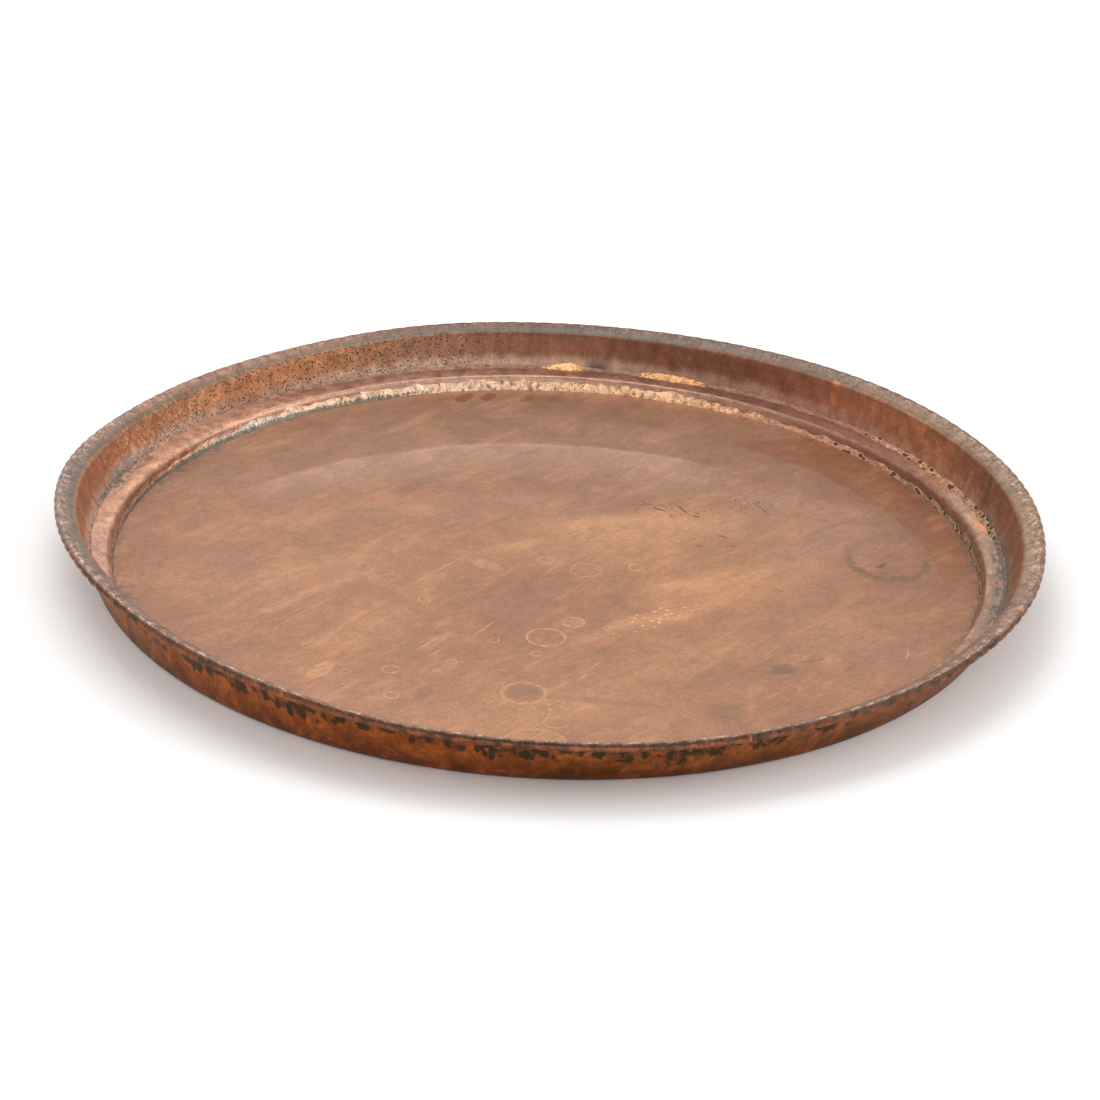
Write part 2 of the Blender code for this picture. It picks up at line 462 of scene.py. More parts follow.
# Filled marks: x, y, half length, half width in millimetres, turn in degrees, softness, and strength.
ORANGE_PATCHES = [
    (23, -121, 7.6, 7.6, 0, 0.25, 0.40),
    (-169, -219, 17, 7, 62, 0.5, 0.75),
    (-3, -323, 22, 22, 0, 0.2, 0.35),
    (-22, 18, 21, 7, 30, 0.8, 0.60),
    (-50, -22, 15, 7, -35, 0.7, 0.60),
    (64, -118, 26, 6, 40, 0.8, 0.60),
    (-200, -100, 34, 6, 52, 0.9, 0.50),
]
DARK_PATCHES = [
    (185, -188, 11, 9, 30, 0.7, 0.66),
    (139, -260, 14, 13, 0, 0.9, 0.42),
    (-89, -250, 6, 13, -20, 0.8, 0.42),
    (-13, -243, 13, 13, 0, 0.4, 0.34),
    (50, -252, 42, 4, -6, 1.0, 0.30),
    (205, -172, 12, 2, 20, 0.9, 0.45),
]
RED_PATCHES = [
    (-82, 325, 13, 6.5, 62, 0.2, 0.8),
    (-59, 330, 10, 6, 66, 0.2, 0.75),
    (-24, 329, 9, 5, 55, 0.3, 0.5),
    (0, 331, 8, 4, 50, 0.3, 0.4),
]
# Scratches: two ends x, y, x, y, width in millimetres, and strength.
SCRATCHES = [
    (-98, -181, -78, -151, 1.8, 1.0),
    (-91, -196, -75, -171, 1.7, 0.9),
    (-104, -190, -88, -164, 1.3, 0.7),
    (-56, -154, -36, -119, 1.6, 0.9),
    (-216, -158, -161, -82, 2.2, 0.6),
    (-210, -140, -180, -98, 1.6, 0.5),
    (-109, -67, -55, 8, 1.8, 0.9),
    (-120, -84, -92, -44, 1.4, 0.6),
    (-84, -72, -60, -40, 1.4, 0.5),
    (27, -220, 37, -206, 3.0, 1.0),
    (36, -199, 46, -186, 2.2, 0.8),
    (44, -134, 66, -96, 1.5, 0.5),
    (58, -124, 96, -98, 1.6, 0.7),
    (146, 88, 186, 146, 1.6, 0.6),
    (196, -62, 243, 118, 1.3, 0.35),
    (270, -168, 294, -146, 1.9, 0.8),
    (280, -171, 286, -140, 1.8, 0.8),
    (272, -160, 290, -158, 1.5, 0.6),
    (290, 40, 303, 55, 1.8, 0.6),
    (145, -95, 187, -48, 1.4, 0.5),
]
# Places where short nicks lie tangled over each other: columns as for the filled marks.
TANGLES = [
    (100, 100, 44, 15, -12, 0.9, 0.9),
    (170, 120, 30, 16, -30, 0.9, 0.8),
    (-84, 198, 20, 8, 0, 0.9, 0.5),
    (250, 52, 34, 12, -40, 0.9, 0.4),
    (-60, 120, 50, 12, 5, 0.9, 0.3),
]
# Dark nicks where something hard was dragged over the floor: columns as for the scratches.
NICKS = [
    (84, 102, 104, 94, 3.4, 0.9),
    (104, 116, 122, 84, 3.2, 0.9),
    (118, 92, 134, 80, 3.4, 0.9),
    (70, 108, 88, 104, 2.6, 0.7),
    (176, 118, 190, 92, 3.2, 0.8),
    (164, 96, 184, 88, 2.6, 0.7),
    (140, 52, 152, 46, 4.0, 0.9),
    (120, 30, 131, 27, 4.0, 0.9),
    (150, 34, 158, 30, 3.0, 0.7),
    (186, 150, 200, 138, 2.6, 0.6),
    (268, -2, 282, 12, 3.4, 0.8),
    (222, -60, 240, -70, 2.2, 0.6),
    (180, -44, 196, -54, 2.2, 0.6),
]


def patch(finish, vector, mark_row, edge):
    """Share of a filled mark with a ragged edge."""
    x, y, long, wide, turned, soft, strength = mark_row
    local = finish.laid(
        vector, (1 / (long * MM), 1 / (wide * MM), 0), turned, (x * MM, y * MM, 0)
    )
    reach = finish.plus(finish.size_of(local), edge)
    return finish.step(reach, 1.0 - soft / 2, 1.0 + soft / 2, strength, 0.0)


def scratch(finish, vector, row):
    """Share of a straight scratch that tapers at both ends."""
    x0, y0, x1, y1, width, strength = row
    run = math.hypot(x1 - x0, y1 - y0)
    turned = math.degrees(math.atan2(y1 - y0, x1 - x0))
    middle = ((x0 + x1) / 2 * MM, (y0 + y1) / 2 * MM, 0)
    local = finish.laid(vector, (2 / (run * MM), 2 / (width * MM), 0), turned, middle)
    return finish.step(finish.size_of(local), 0.3, 1.0, strength, 0.0)


def ring_line(finish, vector, row, ripple):
    """Share of a ring's line, with a wandering radius."""
    x, y, radius, width, strength = row
    reach = finish.plus(finish.distance(vector, (x * MM, y * MM, 0)), ripple)
    off = finish.math("ABSOLUTE", finish.math("SUBTRACT", reach, radius * MM))
    return finish.step(off, width * 0.3 * MM, width * 1.1 * MM, strength, 0.0)


def strongest(finish, shares):
    """The largest of the shares, each one made only when its turn comes."""
    total = None
    for share in shares:
        total = share if total is None else finish.math("MAXIMUM", total, share)
    return total


def floor_finish(colours):
    """Satin copper, rubbed, ringed and scratched by use."""
    finish = Finish("floor_copper_used", 0.96, 0.5, "tone")
    space = finish.space()
    cloudy = finish.noise(space, 60 * MM, 4, 0.55, 0.4)
    blotchy = finish.noise(space, 17 * MM, 4, 0.6, 0.6)
    fine = finish.noise(space, 2.6 * MM, 3, 0.6)
    dust = finish.noise(space, 0.9 * MM, 2, 0.6)
    finish.vary(cloudy, 0.96, 1.04)
    finish.vary(blotchy, 0.94, 1.06)
    finish.vary(fine, 0.94, 1.06)
    finish.vary(dust, 0.94, 1.06)

    # Wiping streaks, most of them along one diagonal.
    swept = finish.laid(space, (1, 4, 1), 50)
    sweep = finish.noise(swept, 75 * MM, 6, 0.6, 1.2)
    rubbed = finish.times(finish.step(sweep, 0.50, 0.66), finish.step(cloudy, 0.40, 0.58))
    finish.lay(rubbed, colours.scuff, 0.30)
    dulled = finish.times(finish.step(sweep, 0.50, 0.36), finish.step(blotchy, 0.35, 0.6))
    finish.lay(dulled, colours.dark_stain, 0.30)
    hatch = finish.noise(finish.laid(space, (1, 7, 1), 44), 14 * MM, 4, 0.6)
    finish.vary(hatch, 0.97, 1.03, 0.35, 0.65)
    peel = finish.noise(space, 5 * MM, 3, 0.6, 0.8)
    finish.vary(peel, 0.93, 1.07)

    # Hairline scratches in three directions, in some places only.
    hairs = []
    for turned, size, low in ((50, 30, 0.63), (118, 24, 0.66), (8, 28, 0.67)):
        thread = finish.laid(space, (1, 42, 1), turned)
        hair = finish.step(finish.noise(thread, size * MM, 2, 0.5), low, low + 0.05)
        zone = finish.step(finish.noise(space, 45 * MM, 2, 0.5), 0.46, 0.62)
        hairs.append(finish.times(hair, zone))
    hair = strongest(finish, hairs)
    finish.lay(hair, colours.ring, 0.5)

    ragged = finish.noise(space, 6 * MM, 4, 0.65)
    edge = finish.times(finish.math("SUBTRACT", ragged, 0.5), 1.3)
    ripple = finish.times(finish.math("SUBTRACT", fine, 0.5), 2.4 * MM)
    flat = finish.laid(space, (1, 1, 0))
    broken = finish.step(ragged, 0.38, 0.56, 0.2, 1.0)

    orange = strongest(finish, (patch(finish, flat, row, edge) for row in ORANGE_PATCHES))
    orange = finish.times(orange, finish.step(hatch, 0.38, 0.58, 0.25, 1.0))
    finish.lay(orange, colours.scuff)
    dark = strongest(finish, (patch(finish, flat, row, edge) for row in DARK_PATCHES))
    finish.lay(dark, colours.dark_stain)
    red = strongest(finish, (patch(finish, flat, row, edge) for row in RED_PATCHES))
    finish.lay(red, colours.red_oxide)

    # The oval stain of a pan at the right.
    pan = finish.laid(flat, (1 / (36 * MM), 1 / (46 * MM), 0), 0, (281 * MM, 20 * MM, 0))
    reach = finish.plus(finish.size_of(pan), finish.times(edge, 0.35))
    hoop = finish.step(finish.math("ABSOLUTE", finish.math("SUBTRACT", reach, 0.9)), 0.0, 0.2, 0.8, 0.0)
    hoop = finish.times(hoop, finish.step(finish.axes(pan)[1], -0.3, 0.7, 1.0, 0.2))
    hoop = finish.times(hoop, finish.step(blotchy, 0.3, 0.6, 0.45, 1.0))
    finish.lay(hoop, colours.dark_stain)
    spot = patch(finish, flat, (275, 3, 5, 2.5, 70, 0.5, 0.8), edge)
    finish.lay(spot, colours.dark_stain)

    # Rings of cups, in bright copper.
    lines = (ring_line(finish, flat, row, ripple) for row in FLOOR_RINGS)
    rings = finish.times(strongest(finish, lines), broken)
    finish.lay(rings, colours.ring)
    cuts = strongest(finish, (scratch(finish, flat, row) for row in SCRATCHES))
    cuts = finish.times(cuts, broken)
    finish.lay(cuts, colours.ring)

    dug = strongest(finish, (scratch(finish, flat, row) for row in NICKS))
    dug = finish.times(dug, broken)
    cracked = finish.laid(space, (1, 2.6, 1), -38)
    tangle = finish.cells(cracked, 11 * MM, feature="DISTANCE_TO_EDGE")
    tangle = finish.times(finish.step(tangle, 0.02, 0.09, 1.0, 0.0), finish.step(peel, 0.46, 0.56))
    zones = strongest(finish, (patch(finish, flat, row, edge) for row in TANGLES))
    tangle = finish.times(tangle, zones)
    dug = finish.math("MAXIMUM", dug, tangle)
    finish.lay(dug, colours.dug)

    # Bright flecks in two rubbed places, small dark nicks and a few bright specks.
    flecked = strongest(finish, [
        patch(finish, flat, (84, -110, 46, 15, 35, 0.9, 1.0), edge),
        patch(finish, flat, (-4, -266, 34, 16, 10, 1.0, 0.45), edge),
    ])
    fleck = finish.step(finish.cells(finish.laid(space, (1, 1.8, 1), 35), 8 * MM), 0.15, 0.27, 1.0, 0.0)
    fleck = finish.times(fleck, flecked)
    finish.lay(fleck, (0.88, 0.50, 0.26))
    spread = finish.noise(space, 70 * MM, 2, 0.5)
    nick = finish.step(finish.cells(finish.laid(space, (1, 2.4, 1), 35), 9 * MM), 0.03, 0.10, 1.0, 0.0)
    nick = finish.times(nick, finish.step(spread, 0.49, 0.60))
    finish.lay(nick, colours.dark_stain, 0.6)
    speck = finish.step(finish.cells(space, 13 * MM), 0.03, 0.07, 1.0, 0.0)
    speck = finish.times(speck, finish.step(spread, 0.50, 0.40))
    finish.lay(speck, colours.ring, 0.7)

    green = finish.times(finish.marked("green"), finish.step(ragged, 0.49, 0.57))
    finish.lay(green, colours.verdigris)

    finish.relief(blotchy, 0.10 * MM)
    finish.relief(fine, 0.05 * MM)
    finish.relief(dust, 0.018 * MM)
    finish.relief(hair, -0.02 * MM)
    finish.relief(nick, -0.25 * MM)
    finish.relief(tangle, -0.3 * MM)
    rough = finish.plus(finish.step(cloudy, 0.3, 0.7, 0.44, 0.54), finish.times(hair, -0.08))
    return finish.done(rough)


def underside_finish():
    """Dull, sooty copper that nobody polishes."""
    finish = Finish("underside_copper", 0.85, 0.6)
    space = finish.space()
    cloudy = finish.noise(space, 55 * MM, 4, 0.6, 0.6)
    fine = finish.noise(space, 6 * MM, 4, 0.6)
    sooty = finish.step(cloudy, 0.45, 0.68)
    finish.colour = finish.mix(finish.step(fine, 0.3, 0.7), (0.17, 0.065, 0.03), (0.24, 0.10, 0.05))
    finish.lay(sooty, (0.07, 0.04, 0.025), 0.7)
    ringed = finish.step(finish.noise(finish.laid(space, (1, 5, 1), 12), 40 * MM, 3), 0.6, 0.72)
    finish.lay(ringed, (0.34, 0.16, 0.08), 0.4)
    finish.relief(fine, 0.12 * MM)
    finish.relief(cloudy, 0.3 * MM)
    return finish.done(finish.step(fine, 0.3, 0.7, 0.5, 0.68))


def wall_inside_finish(colours):
    """Hammered copper with oxide, drips and pits, and a crimped lip with grey-green patina, painted
    highlights on its crests and painted shade in its notches.
    """
    finish = Finish("wall_copper_inside", 0.96, 0.5, "tone")
    place = finish.painted("place", "Vector")
    blotchy = finish.noise(place, 15 * MM, 4, 0.62, 0.5)
    patchy = finish.noise(place, 5 * MM, 4, 0.65, 0.4)
    fine = finish.noise(place, 1.5 * MM, 3, 0.6)
    runs = finish.noise(finish.laid(place, (1, 1, 0.22)), 7 * MM, 4, 0.65, 0.3)
    along = finish.noise(finish.laid(place, (0.22, 0.22, 1)), 4 * MM, 3, 0.6)

    finish.vary(blotchy, 0.86, 1.14)
    finish.vary(runs, 0.90, 1.10)
    broad = finish.colour
    even = finish.vary(fine, 0.90, 1.10)
    finish.colour = broad
    finish.vary(patchy, 0.74, 1.28)
    finish.vary(fine, 0.74, 1.28)
    finish.colour = finish.mix(finish.marked("mottled"), even, finish.colour)

    bright = finish.times(finish.step(runs, 0.60, 0.70), finish.step(patchy, 0.45, 0.62))
    finish.lay(bright, (0.56, 0.25, 0.12), 0.30)
    grime = finish.times(finish.step(runs, 0.42, 0.32), finish.step(patchy, 0.42, 0.60))
    finish.lay(grime, (0.09, 0.06, 0.042), 0.35)

    green = finish.times(finish.marked("green"), finish.step(patchy, 0.40, 0.56))
    green = finish.times(green, finish.step(along, 0.36, 0.52, 0.4, 1.0))
    finish.lay(green, colours.verdigris)

    spots = finish.step(finish.noise(place, 3.2 * MM, 4, 0.7), 0.42, 0.34)
    spots = finish.times(spots, finish.marked("lip"))
    finish.lay(spots, (0.085, 0.062, 0.047), 0.6)

    crest = finish.marked("crest")
    # Whitish flecks on the crimp crests: wear, and a painted highlight where the crests catch the light.
    crest_wear_and_highlight = finish.times(finish.step(crest, 0.25, 0.8), finish.step(patchy, 0.52, 0.58))
    finish.lay(crest_wear_and_highlight, (0.66, 0.52, 0.43), 0.7)
    # Painted shade in the bottoms of the crimp notches.
    notch_painted_shade = finish.step(crest, -0.1, -1.0)
    finish.lay(notch_painted_shade, (0.07, 0.042, 0.030), 0.55)

    holes = finish.plus(finish.cells(place, 3.0 * MM), finish.times(fine, 0.5))
    holes = finish.step(holes, 0.44, 0.58, 1.0, 0.0)
    holes = finish.times(holes, finish.marked("pitted"))
    holes = finish.times(holes, finish.step(patchy, 0.38, 0.48))
    finish.lay(holes, (0.05, 0.035, 0.028), 0.85)

    finish.relief(blotchy, 0.35 * MM)
    finish.relief(patchy, 0.22 * MM)
    finish.relief(fine, 0.07 * MM)
    finish.relief(holes, -0.35 * MM)
    return finish.done(finish.step(patchy, 0.3, 0.7, 0.42, 0.58))


def wall_outside_finish(colours):
    """Burnt orange copper with soot and drips under the rim."""
    finish = Finish("wall_copper_outside", 0.92, 0.52, "tone_out")
    place = finish.painted("place", "Vector")
    blotchy = finish.noise(place, 22 * MM, 4, 0.62, 0.6)
    patchy = finish.noise(place, 7 * MM, 5, 0.65, 0.5)
    fine = finish.noise(place, 1.8 * MM, 3, 0.6)
    runs = finish.noise(finish.laid(place, (1, 1, 0.32)), 10 * MM, 4, 0.6, 0.3)
    finish.vary(blotchy, 0.72, 1.28)
    finish.vary(patchy, 0.78, 1.22)
    finish.vary(fine, 0.85, 1.15)
    glow = finish.times(finish.step(blotchy, 0.48, 0.62), finish.step(patchy, 0.45, 0.62))
    finish.lay(glow, (0.46, 0.155, 0.045), 0.6)
    dim = finish.times(finish.step(runs, 0.44, 0.34), 0.35)
    finish.lay(dim, (0.10, 0.05, 0.022))
    sooty = finish.marked("sooty")
    blots = finish.noise(finish.laid(place, (1, 1, 0.7)), 9 * MM, 2, 0.55, 0.3)
    stain = finish.plus(finish.times(blots, 0.60), finish.times(runs, 0.45))
    stain = finish.step(finish.plus(stain, finish.times(sooty, 0.17)), 0.635, 0.735)
    stain = finish.times(stain, finish.step(sooty, 0.02, 0.25))
    finish.lay(stain, colours.soot, 0.86)
    finish.relief(blotchy, 0.4 * MM)
    finish.relief(patchy, 0.25 * MM)
    finish.relief(fine, 0.08 * MM)
    return finish.done(finish.step(patchy, 0.3, 0.7, 0.42, 0.60))


def step_finish(colours):
    """The step strip's copper, with a painted highlight on its bend, red-brown oxide and painted shade on its
    riser's sides, and green in its corners.
    """
    finish = Finish("step_copper_worn", 0.96, 0.48, "tone")
    place = finish.painted("place", "Vector")
    blotchy = finish.noise(place, 16 * MM, 4, 0.6, 0.5)
    patchy = finish.noise(finish.laid(place, (0.45, 0.45, 1)), 4 * MM, 4, 0.65, 0.4)
    fine = finish.noise(place, 1.5 * MM, 3, 0.6)
    finish.vary(blotchy, 0.86, 1.14)
    finish.vary(patchy, 0.78, 1.20)
    finish.vary(fine, 0.82, 1.18)
    # Red-brown on the riser at both sides: oxide, and painted shade where the riser turns from the light.
    red = finish.times(finish.marked("red"), finish.step(patchy, 0.36, 0.54))
    finish.lay(red, (0.20, 0.075, 0.055))
    green = finish.times(finish.marked("green"), finish.step(patchy, 0.46, 0.55))
    finish.lay(green, colours.verdigris)
    finish.relief(blotchy, 0.3 * MM)
    finish.relief(patchy, 0.12 * MM)
    finish.relief(fine, 0.05 * MM)
    return finish.done(finish.step(blotchy, 0.3, 0.7, 0.40, 0.54))


def spelter_finish(name, colours):
    """Lumpy brazing brass, half tarnished, with green in its hollows and painted highlights on its lumps."""
    finish = Finish(name, 0.95, 0.42, "tone")
    place = finish.painted("place", "Vector")
    lumpy = finish.noise(place, 6 * MM, 4, 0.65, 0.5)
    patchy = finish.noise(place, 2.6 * MM, 4, 0.65)
    fine = finish.noise(place, 0.9 * MM, 2, 0.6)
    brass_and_highlight = finish.marked("brass_and_highlight")
    # shine lays the bright colour on the lumps: clean brass, and on the floor bead's far and left side a
    # painted highlight.
    shine = finish.plus(finish.times(lumpy, 0.5), finish.times(patchy, 0.5))
    shine = finish.plus(shine, finish.times(finish.math("SUBTRACT", brass_and_highlight, 0.5), 0.34))
    finish.vary(lumpy, 0.74, 1.20)
    finish.lay(finish.step(shine, 0.50, 0.62), finish.painted("bright"))
    streaky = finish.noise(finish.laid(place, (0.55, 0.55, 1)), 3.6 * MM, 4, 0.65, 0.8)
    finish.vary(streaky, 0.66, 1.14, 0.36, 0.60)
    finish.vary(fine, 0.80, 1.18)
    green = finish.marked("green")
    tarnish = finish.plus(patchy, finish.times(finish.math("SUBTRACT", green, 0.5), 0.5))
    tarnish = finish.times(finish.step(tarnish, 0.46, 0.56), finish.step(green, 0.0, 0.2))
    finish.lay(tarnish, colours.verdigris)
    dark = finish.times(finish.step(patchy, 0.40, 0.32), finish.step(green, 0.05, 0.4))
    finish.lay(dark, colours.soot, 0.8)
    reach = finish.cells(finish.laid(place, (0.8, 0.8, 1.5)), 7 * MM)
    pits = finish.marked("pits")
    rim = finish.times(finish.step(reach, 0.52, 0.40), pits)
    finish.lay(rim, finish.painted("bright"), 0.8)
    hole = finish.times(finish.step(reach, 0.40, 0.30), pits)
    finish.lay(hole, colours.soot, 0.9)
    finish.relief(lumpy, 0.6 * MM)
    finish.relief(patchy, 0.4 * MM)
    finish.relief(fine, 0.08 * MM)
    finish.relief(hole, -0.5 * MM)
    return finish.done(finish.step(lumpy, 0.3, 0.7, 0.36, 0.55))


def iron_finish(colours):
    """Dull iron wire."""
    finish = Finish("rim_wire_iron", 0.9, 0.65)
    space = finish.space()
    fine = finish.noise(space, 3 * MM, 4, 0.6)
    rust = finish.step(finish.noise(space, 14 * MM, 3, 0.6), 0.48, 0.62)
    finish.colour = finish.mix(finish.times(rust, 0.7), colours.iron, (0.16, 0.065, 0.03))
    finish.vary(fine, 0.8, 1.2)
    finish.relief(fine, 0.1 * MM)
    return finish.done()


# ---------------------------------------------------------------- the outlines of the sheets


def heading(angle):
    return np.array((math.cos(angle), math.sin(angle)))


def arc(centre, radius, start, sweep, steps):
    return [centre + radius * heading(start + sweep * index / steps) for index in range(steps + 1)]


def run(first, last, steps):
    """Points between two ends, leaving both ends out."""
    return [first + (last - first) * index / steps for index in range(1, steps)]


def rounded(before, corner, after, radius, steps):
    back = (before - corner) / np.linalg.norm(before - corner)
    onward = (after - corner) / np.linalg.norm(after - corner)
    half = math.acos(float(back @ onward)) / 2
    middle = (back + onward) / np.linalg.norm(back + onward)
    centre = corner + middle * radius / math.sin(half)
    first = corner + back * radius / math.tan(half) - centre
    last = corner + onward * radius / math.tan(half) - centre
    start = math.atan2(first[1], first[0])
    sweep = math.remainder(math.atan2(last[1], last[0]) - start, math.tau)
    return arc(centre, radius, start, sweep, steps)


ROLL_MID_RADIUS = 2.6 * MM
ROLL_SWEEP = math.radians(286)
ROLL_CENTRE = np.array(
    ((WIRE_HIGH.x - (WIRE_HIGH.z - WIRE_LOW.z) / 2), (WIRE_HIGH.z + WIRE_LOW.z) / 2)
)


def joined(parts):
    """The runs as one outline, and each run's first row."""
    outline, starts = [], {}
    for name, points in parts.items():
        starts[name] = len(outline)
        outline += points
    return outline, starts


def wall_outline(sizes):
    """Mid-sheet points of the wall from the roll's hidden end to the foot's edge."""
    along_lip = heading(sizes.lip_angle)
    roll_top = ROLL_CENTRE + ROLL_MID_RADIUS * heading(sizes.lip_angle + math.pi / 2)
    top = roll_top - along_lip * (roll_top[0] - RIM.x + sizes.lip_width) / along_lip[0]
    upward = heading(math.pi / 2 - sizes.wall_lean)
    bend_bottom = sizes.wall_gauge / 2 + sizes.foot_bend * (1 - math.sin(sizes.wall_lean))
    bottom = top - upward * (top[1] - bend_bottom) / upward[1]
    roll = arc(ROLL_CENTRE, ROLL_MID_RADIUS, sizes.lip_angle + math.pi / 2 - ROLL_SWEEP, ROLL_SWEEP, 11)
    shoulder = rounded(roll[-1], top, bottom, sizes.lip_bend, 3)
    lip = run(roll[-1], shoulder[0], 6)
    side = run(shoulder[-1], bottom, 14)
    outward = heading(-sizes.wall_lean)
    shares = np.linspace(0, 1, len(side) + 2)[1:-1]
    side = [p + outward * sizes.wall_bow * 4 * s * (1 - s) for p, s in zip(side, shares)]
    bend_centre = np.array(
        (bottom[0] - sizes.foot_bend * math.cos(sizes.wall_lean), sizes.wall_gauge / 2 + sizes.foot_bend)
    )
    bend = arc(bend_centre, sizes.foot_bend, -sizes.wall_lean, sizes.wall_lean - math.pi / 2, 4)
    foot_edge = np.array((bend_centre[0] - sizes.foot_width, sizes.wall_gauge / 2))
    foot = run(bend[-1], foot_edge, 2) + [foot_edge]
    parts = {"roll": roll, "lip": lip, "shoulder": shoulder, "side": side, "bend": bend, "foot": foot}
    return joined(parts)


def step_outline(sizes):
    """Mid-sheet points of the step strip from the ledge's outer edge to the flange's."""
    half = sizes.step_gauge / 2
    ledge_edge = np.array((STEP_HIGH.x - 0.2 * MM, STEP_HIGH.z - half))
    riser_top = np.array((ledge_edge[0] - sizes.ledge_width, ledge_edge[1] - 1.8 * MM))
    riser_foot = np.array((riser_top[0] - 3.4 * MM, STEP_LOW.z + half))
    flange_edge = riser_foot + np.array((6.2 * MM, 0))
    top_bend = rounded(ledge_edge, riser_top, riser_foot, 2.4 * MM, 5)
    foot_bend = rounded(riser_top, riser_foot, flange_edge, sizes.step_gauge, 3)
    ledge = [ledge_edge] + run(ledge_edge, top_bend[0], 6)
    riser = run(top_bend[-1], foot_bend[0], 3)
    flange = run(foot_bend[-1], flange_edge, 2) + [flange_edge]
    parts = {"ledge": ledge, "top_bend": top_bend, "riser": riser, "foot_bend": foot_bend, "flange": flange}
    return joined(parts)


def lengths_along(outline):
    rows = np.asarray(outline)
    gaps = np.hypot(*(rows[1:] - rows[:-1]).T)
    return np.concatenate([[0], np.cumsum(gaps)])


# ---------------------------------------------------------------- painting of the broad colours

# Colours round each part of the sheets: degrees, red, green and blue.
# UPPER_WALL and LOWER_WALL hold painted light and shade along with the copper's tone: the upper wall is
# darker than the lower third by painted shade under the lip, darkest at the far side, and both are lighter at
# the left.
UPPER_WALL = [
    (0, 0.24, 0.12, 0.072), (14, 0.22, 0.11, 0.066), (28, 0.34, 0.15, 0.082),
    (45, 0.26, 0.112, 0.066), (60, 0.16, 0.068, 0.042), (80, 0.14, 0.058, 0.036),
    (97, 0.15, 0.068, 0.038), (110, 0.2, 0.1, 0.058), (125, 0.27, 0.12, 0.06),
    (136, 0.26, 0.11, 0.052), (150, 0.36, 0.18, 0.1), (158, 0.42, 0.2, 0.11),
    (175, 0.38, 0.18, 0.105), (200, 0.32, 0.155, 0.09), (270, 0.24, 0.11, 0.062),
    (330, 0.24, 0.12, 0.072),
]
LOWER_WALL = [
    (0, 0.27, 0.19, 0.14), (20, 0.33, 0.18, 0.115), (45, 0.29, 0.155, 0.108),
    (70, 0.26, 0.155, 0.11), (90, 0.32, 0.185, 0.13), (115, 0.28, 0.18, 0.132),
    (136, 0.19, 0.105, 0.07), (150, 0.36, 0.24, 0.18), (165, 0.5, 0.37, 0.3),
    (195, 0.5, 0.32, 0.24), (270, 0.34, 0.2, 0.14), (330, 0.3, 0.19, 0.135),
]
LIP_INNER = [
    (0, 0.4, 0.265, 0.19), (30, 0.24, 0.175, 0.13), (60, 0.14, 0.118, 0.097),
    (90, 0.13, 0.12, 0.108), (110, 0.15, 0.12, 0.098), (125, 0.2, 0.15, 0.118),
    (145, 0.24, 0.16, 0.122), (170, 0.3, 0.215, 0.172), (200, 0.3, 0.22, 0.178),
    (270, 0.3, 0.205, 0.155), (330, 0.32, 0.205, 0.145),
]
LIP_OUTER = [
    (0, 0.36, 0.23, 0.16), (30, 0.25, 0.165, 0.12), (60, 0.17, 0.112, 0.086),
    (90, 0.15, 0.098, 0.075), (110, 0.18, 0.11, 0.083), (125, 0.29, 0.17, 0.122),
    (150, 0.38, 0.225, 0.165), (180, 0.36, 0.26, 0.212), (215, 0.36, 0.23, 0.17),
    (270, 0.33, 0.205, 0.15), (310, 0.38, 0.25, 0.19),
]
OUTSIDE_UPPER = [
    (0, 0.15, 0.06, 0.028), (90, 0.15, 0.055, 0.025), (180, 0.17, 0.068, 0.03),
    (215, 0.175, 0.056, 0.017), (245, 0.21, 0.06, 0.019), (275, 0.19, 0.062, 0.023),
    (300, 0.2, 0.076, 0.032), (330, 0.16, 0.064, 0.031),
]
# OUTSIDE_LOWER is darker than OUTSIDE_UPPER by painted shade where the wall curves under towards the foot.
OUTSIDE_LOWER = [
    (0, 0.09, 0.036, 0.018), (90, 0.09, 0.032, 0.014), (200, 0.1, 0.04, 0.018),
    (245, 0.1, 0.034, 0.012), (300, 0.1, 0.038, 0.017),
]
# RISER holds painted light: the riser is bright at the left, where it faces the light, and darker at the
# right, where it lies in shade.
RISER = [
    (0, 0.36, 0.2, 0.135), (25, 0.31, 0.155, 0.105), (45, 0.29, 0.148, 0.102),
    (62, 0.33, 0.18, 0.125), (90, 0.38, 0.225, 0.162), (118, 0.44, 0.27, 0.195),
    (140, 0.68, 0.39, 0.265), (165, 0.66, 0.38, 0.27), (195, 0.56, 0.35, 0.262),
    (270, 0.44, 0.26, 0.18), (330, 0.4, 0.23, 0.162),
]
LEDGE = [
    (0, 0.47, 0.3, 0.215), (12, 0.54, 0.365, 0.275), (24, 0.4, 0.22, 0.15),
    (45, 0.3, 0.15, 0.105), (70, 0.28, 0.138, 0.096), (90, 0.33, 0.17, 0.116),
    (115, 0.4, 0.22, 0.155), (140, 0.56, 0.3, 0.2), (165, 0.7, 0.38, 0.25),
    (195, 0.58, 0.35, 0.255), (270, 0.4, 0.23, 0.16), (330, 0.42, 0.245, 0.172),
]
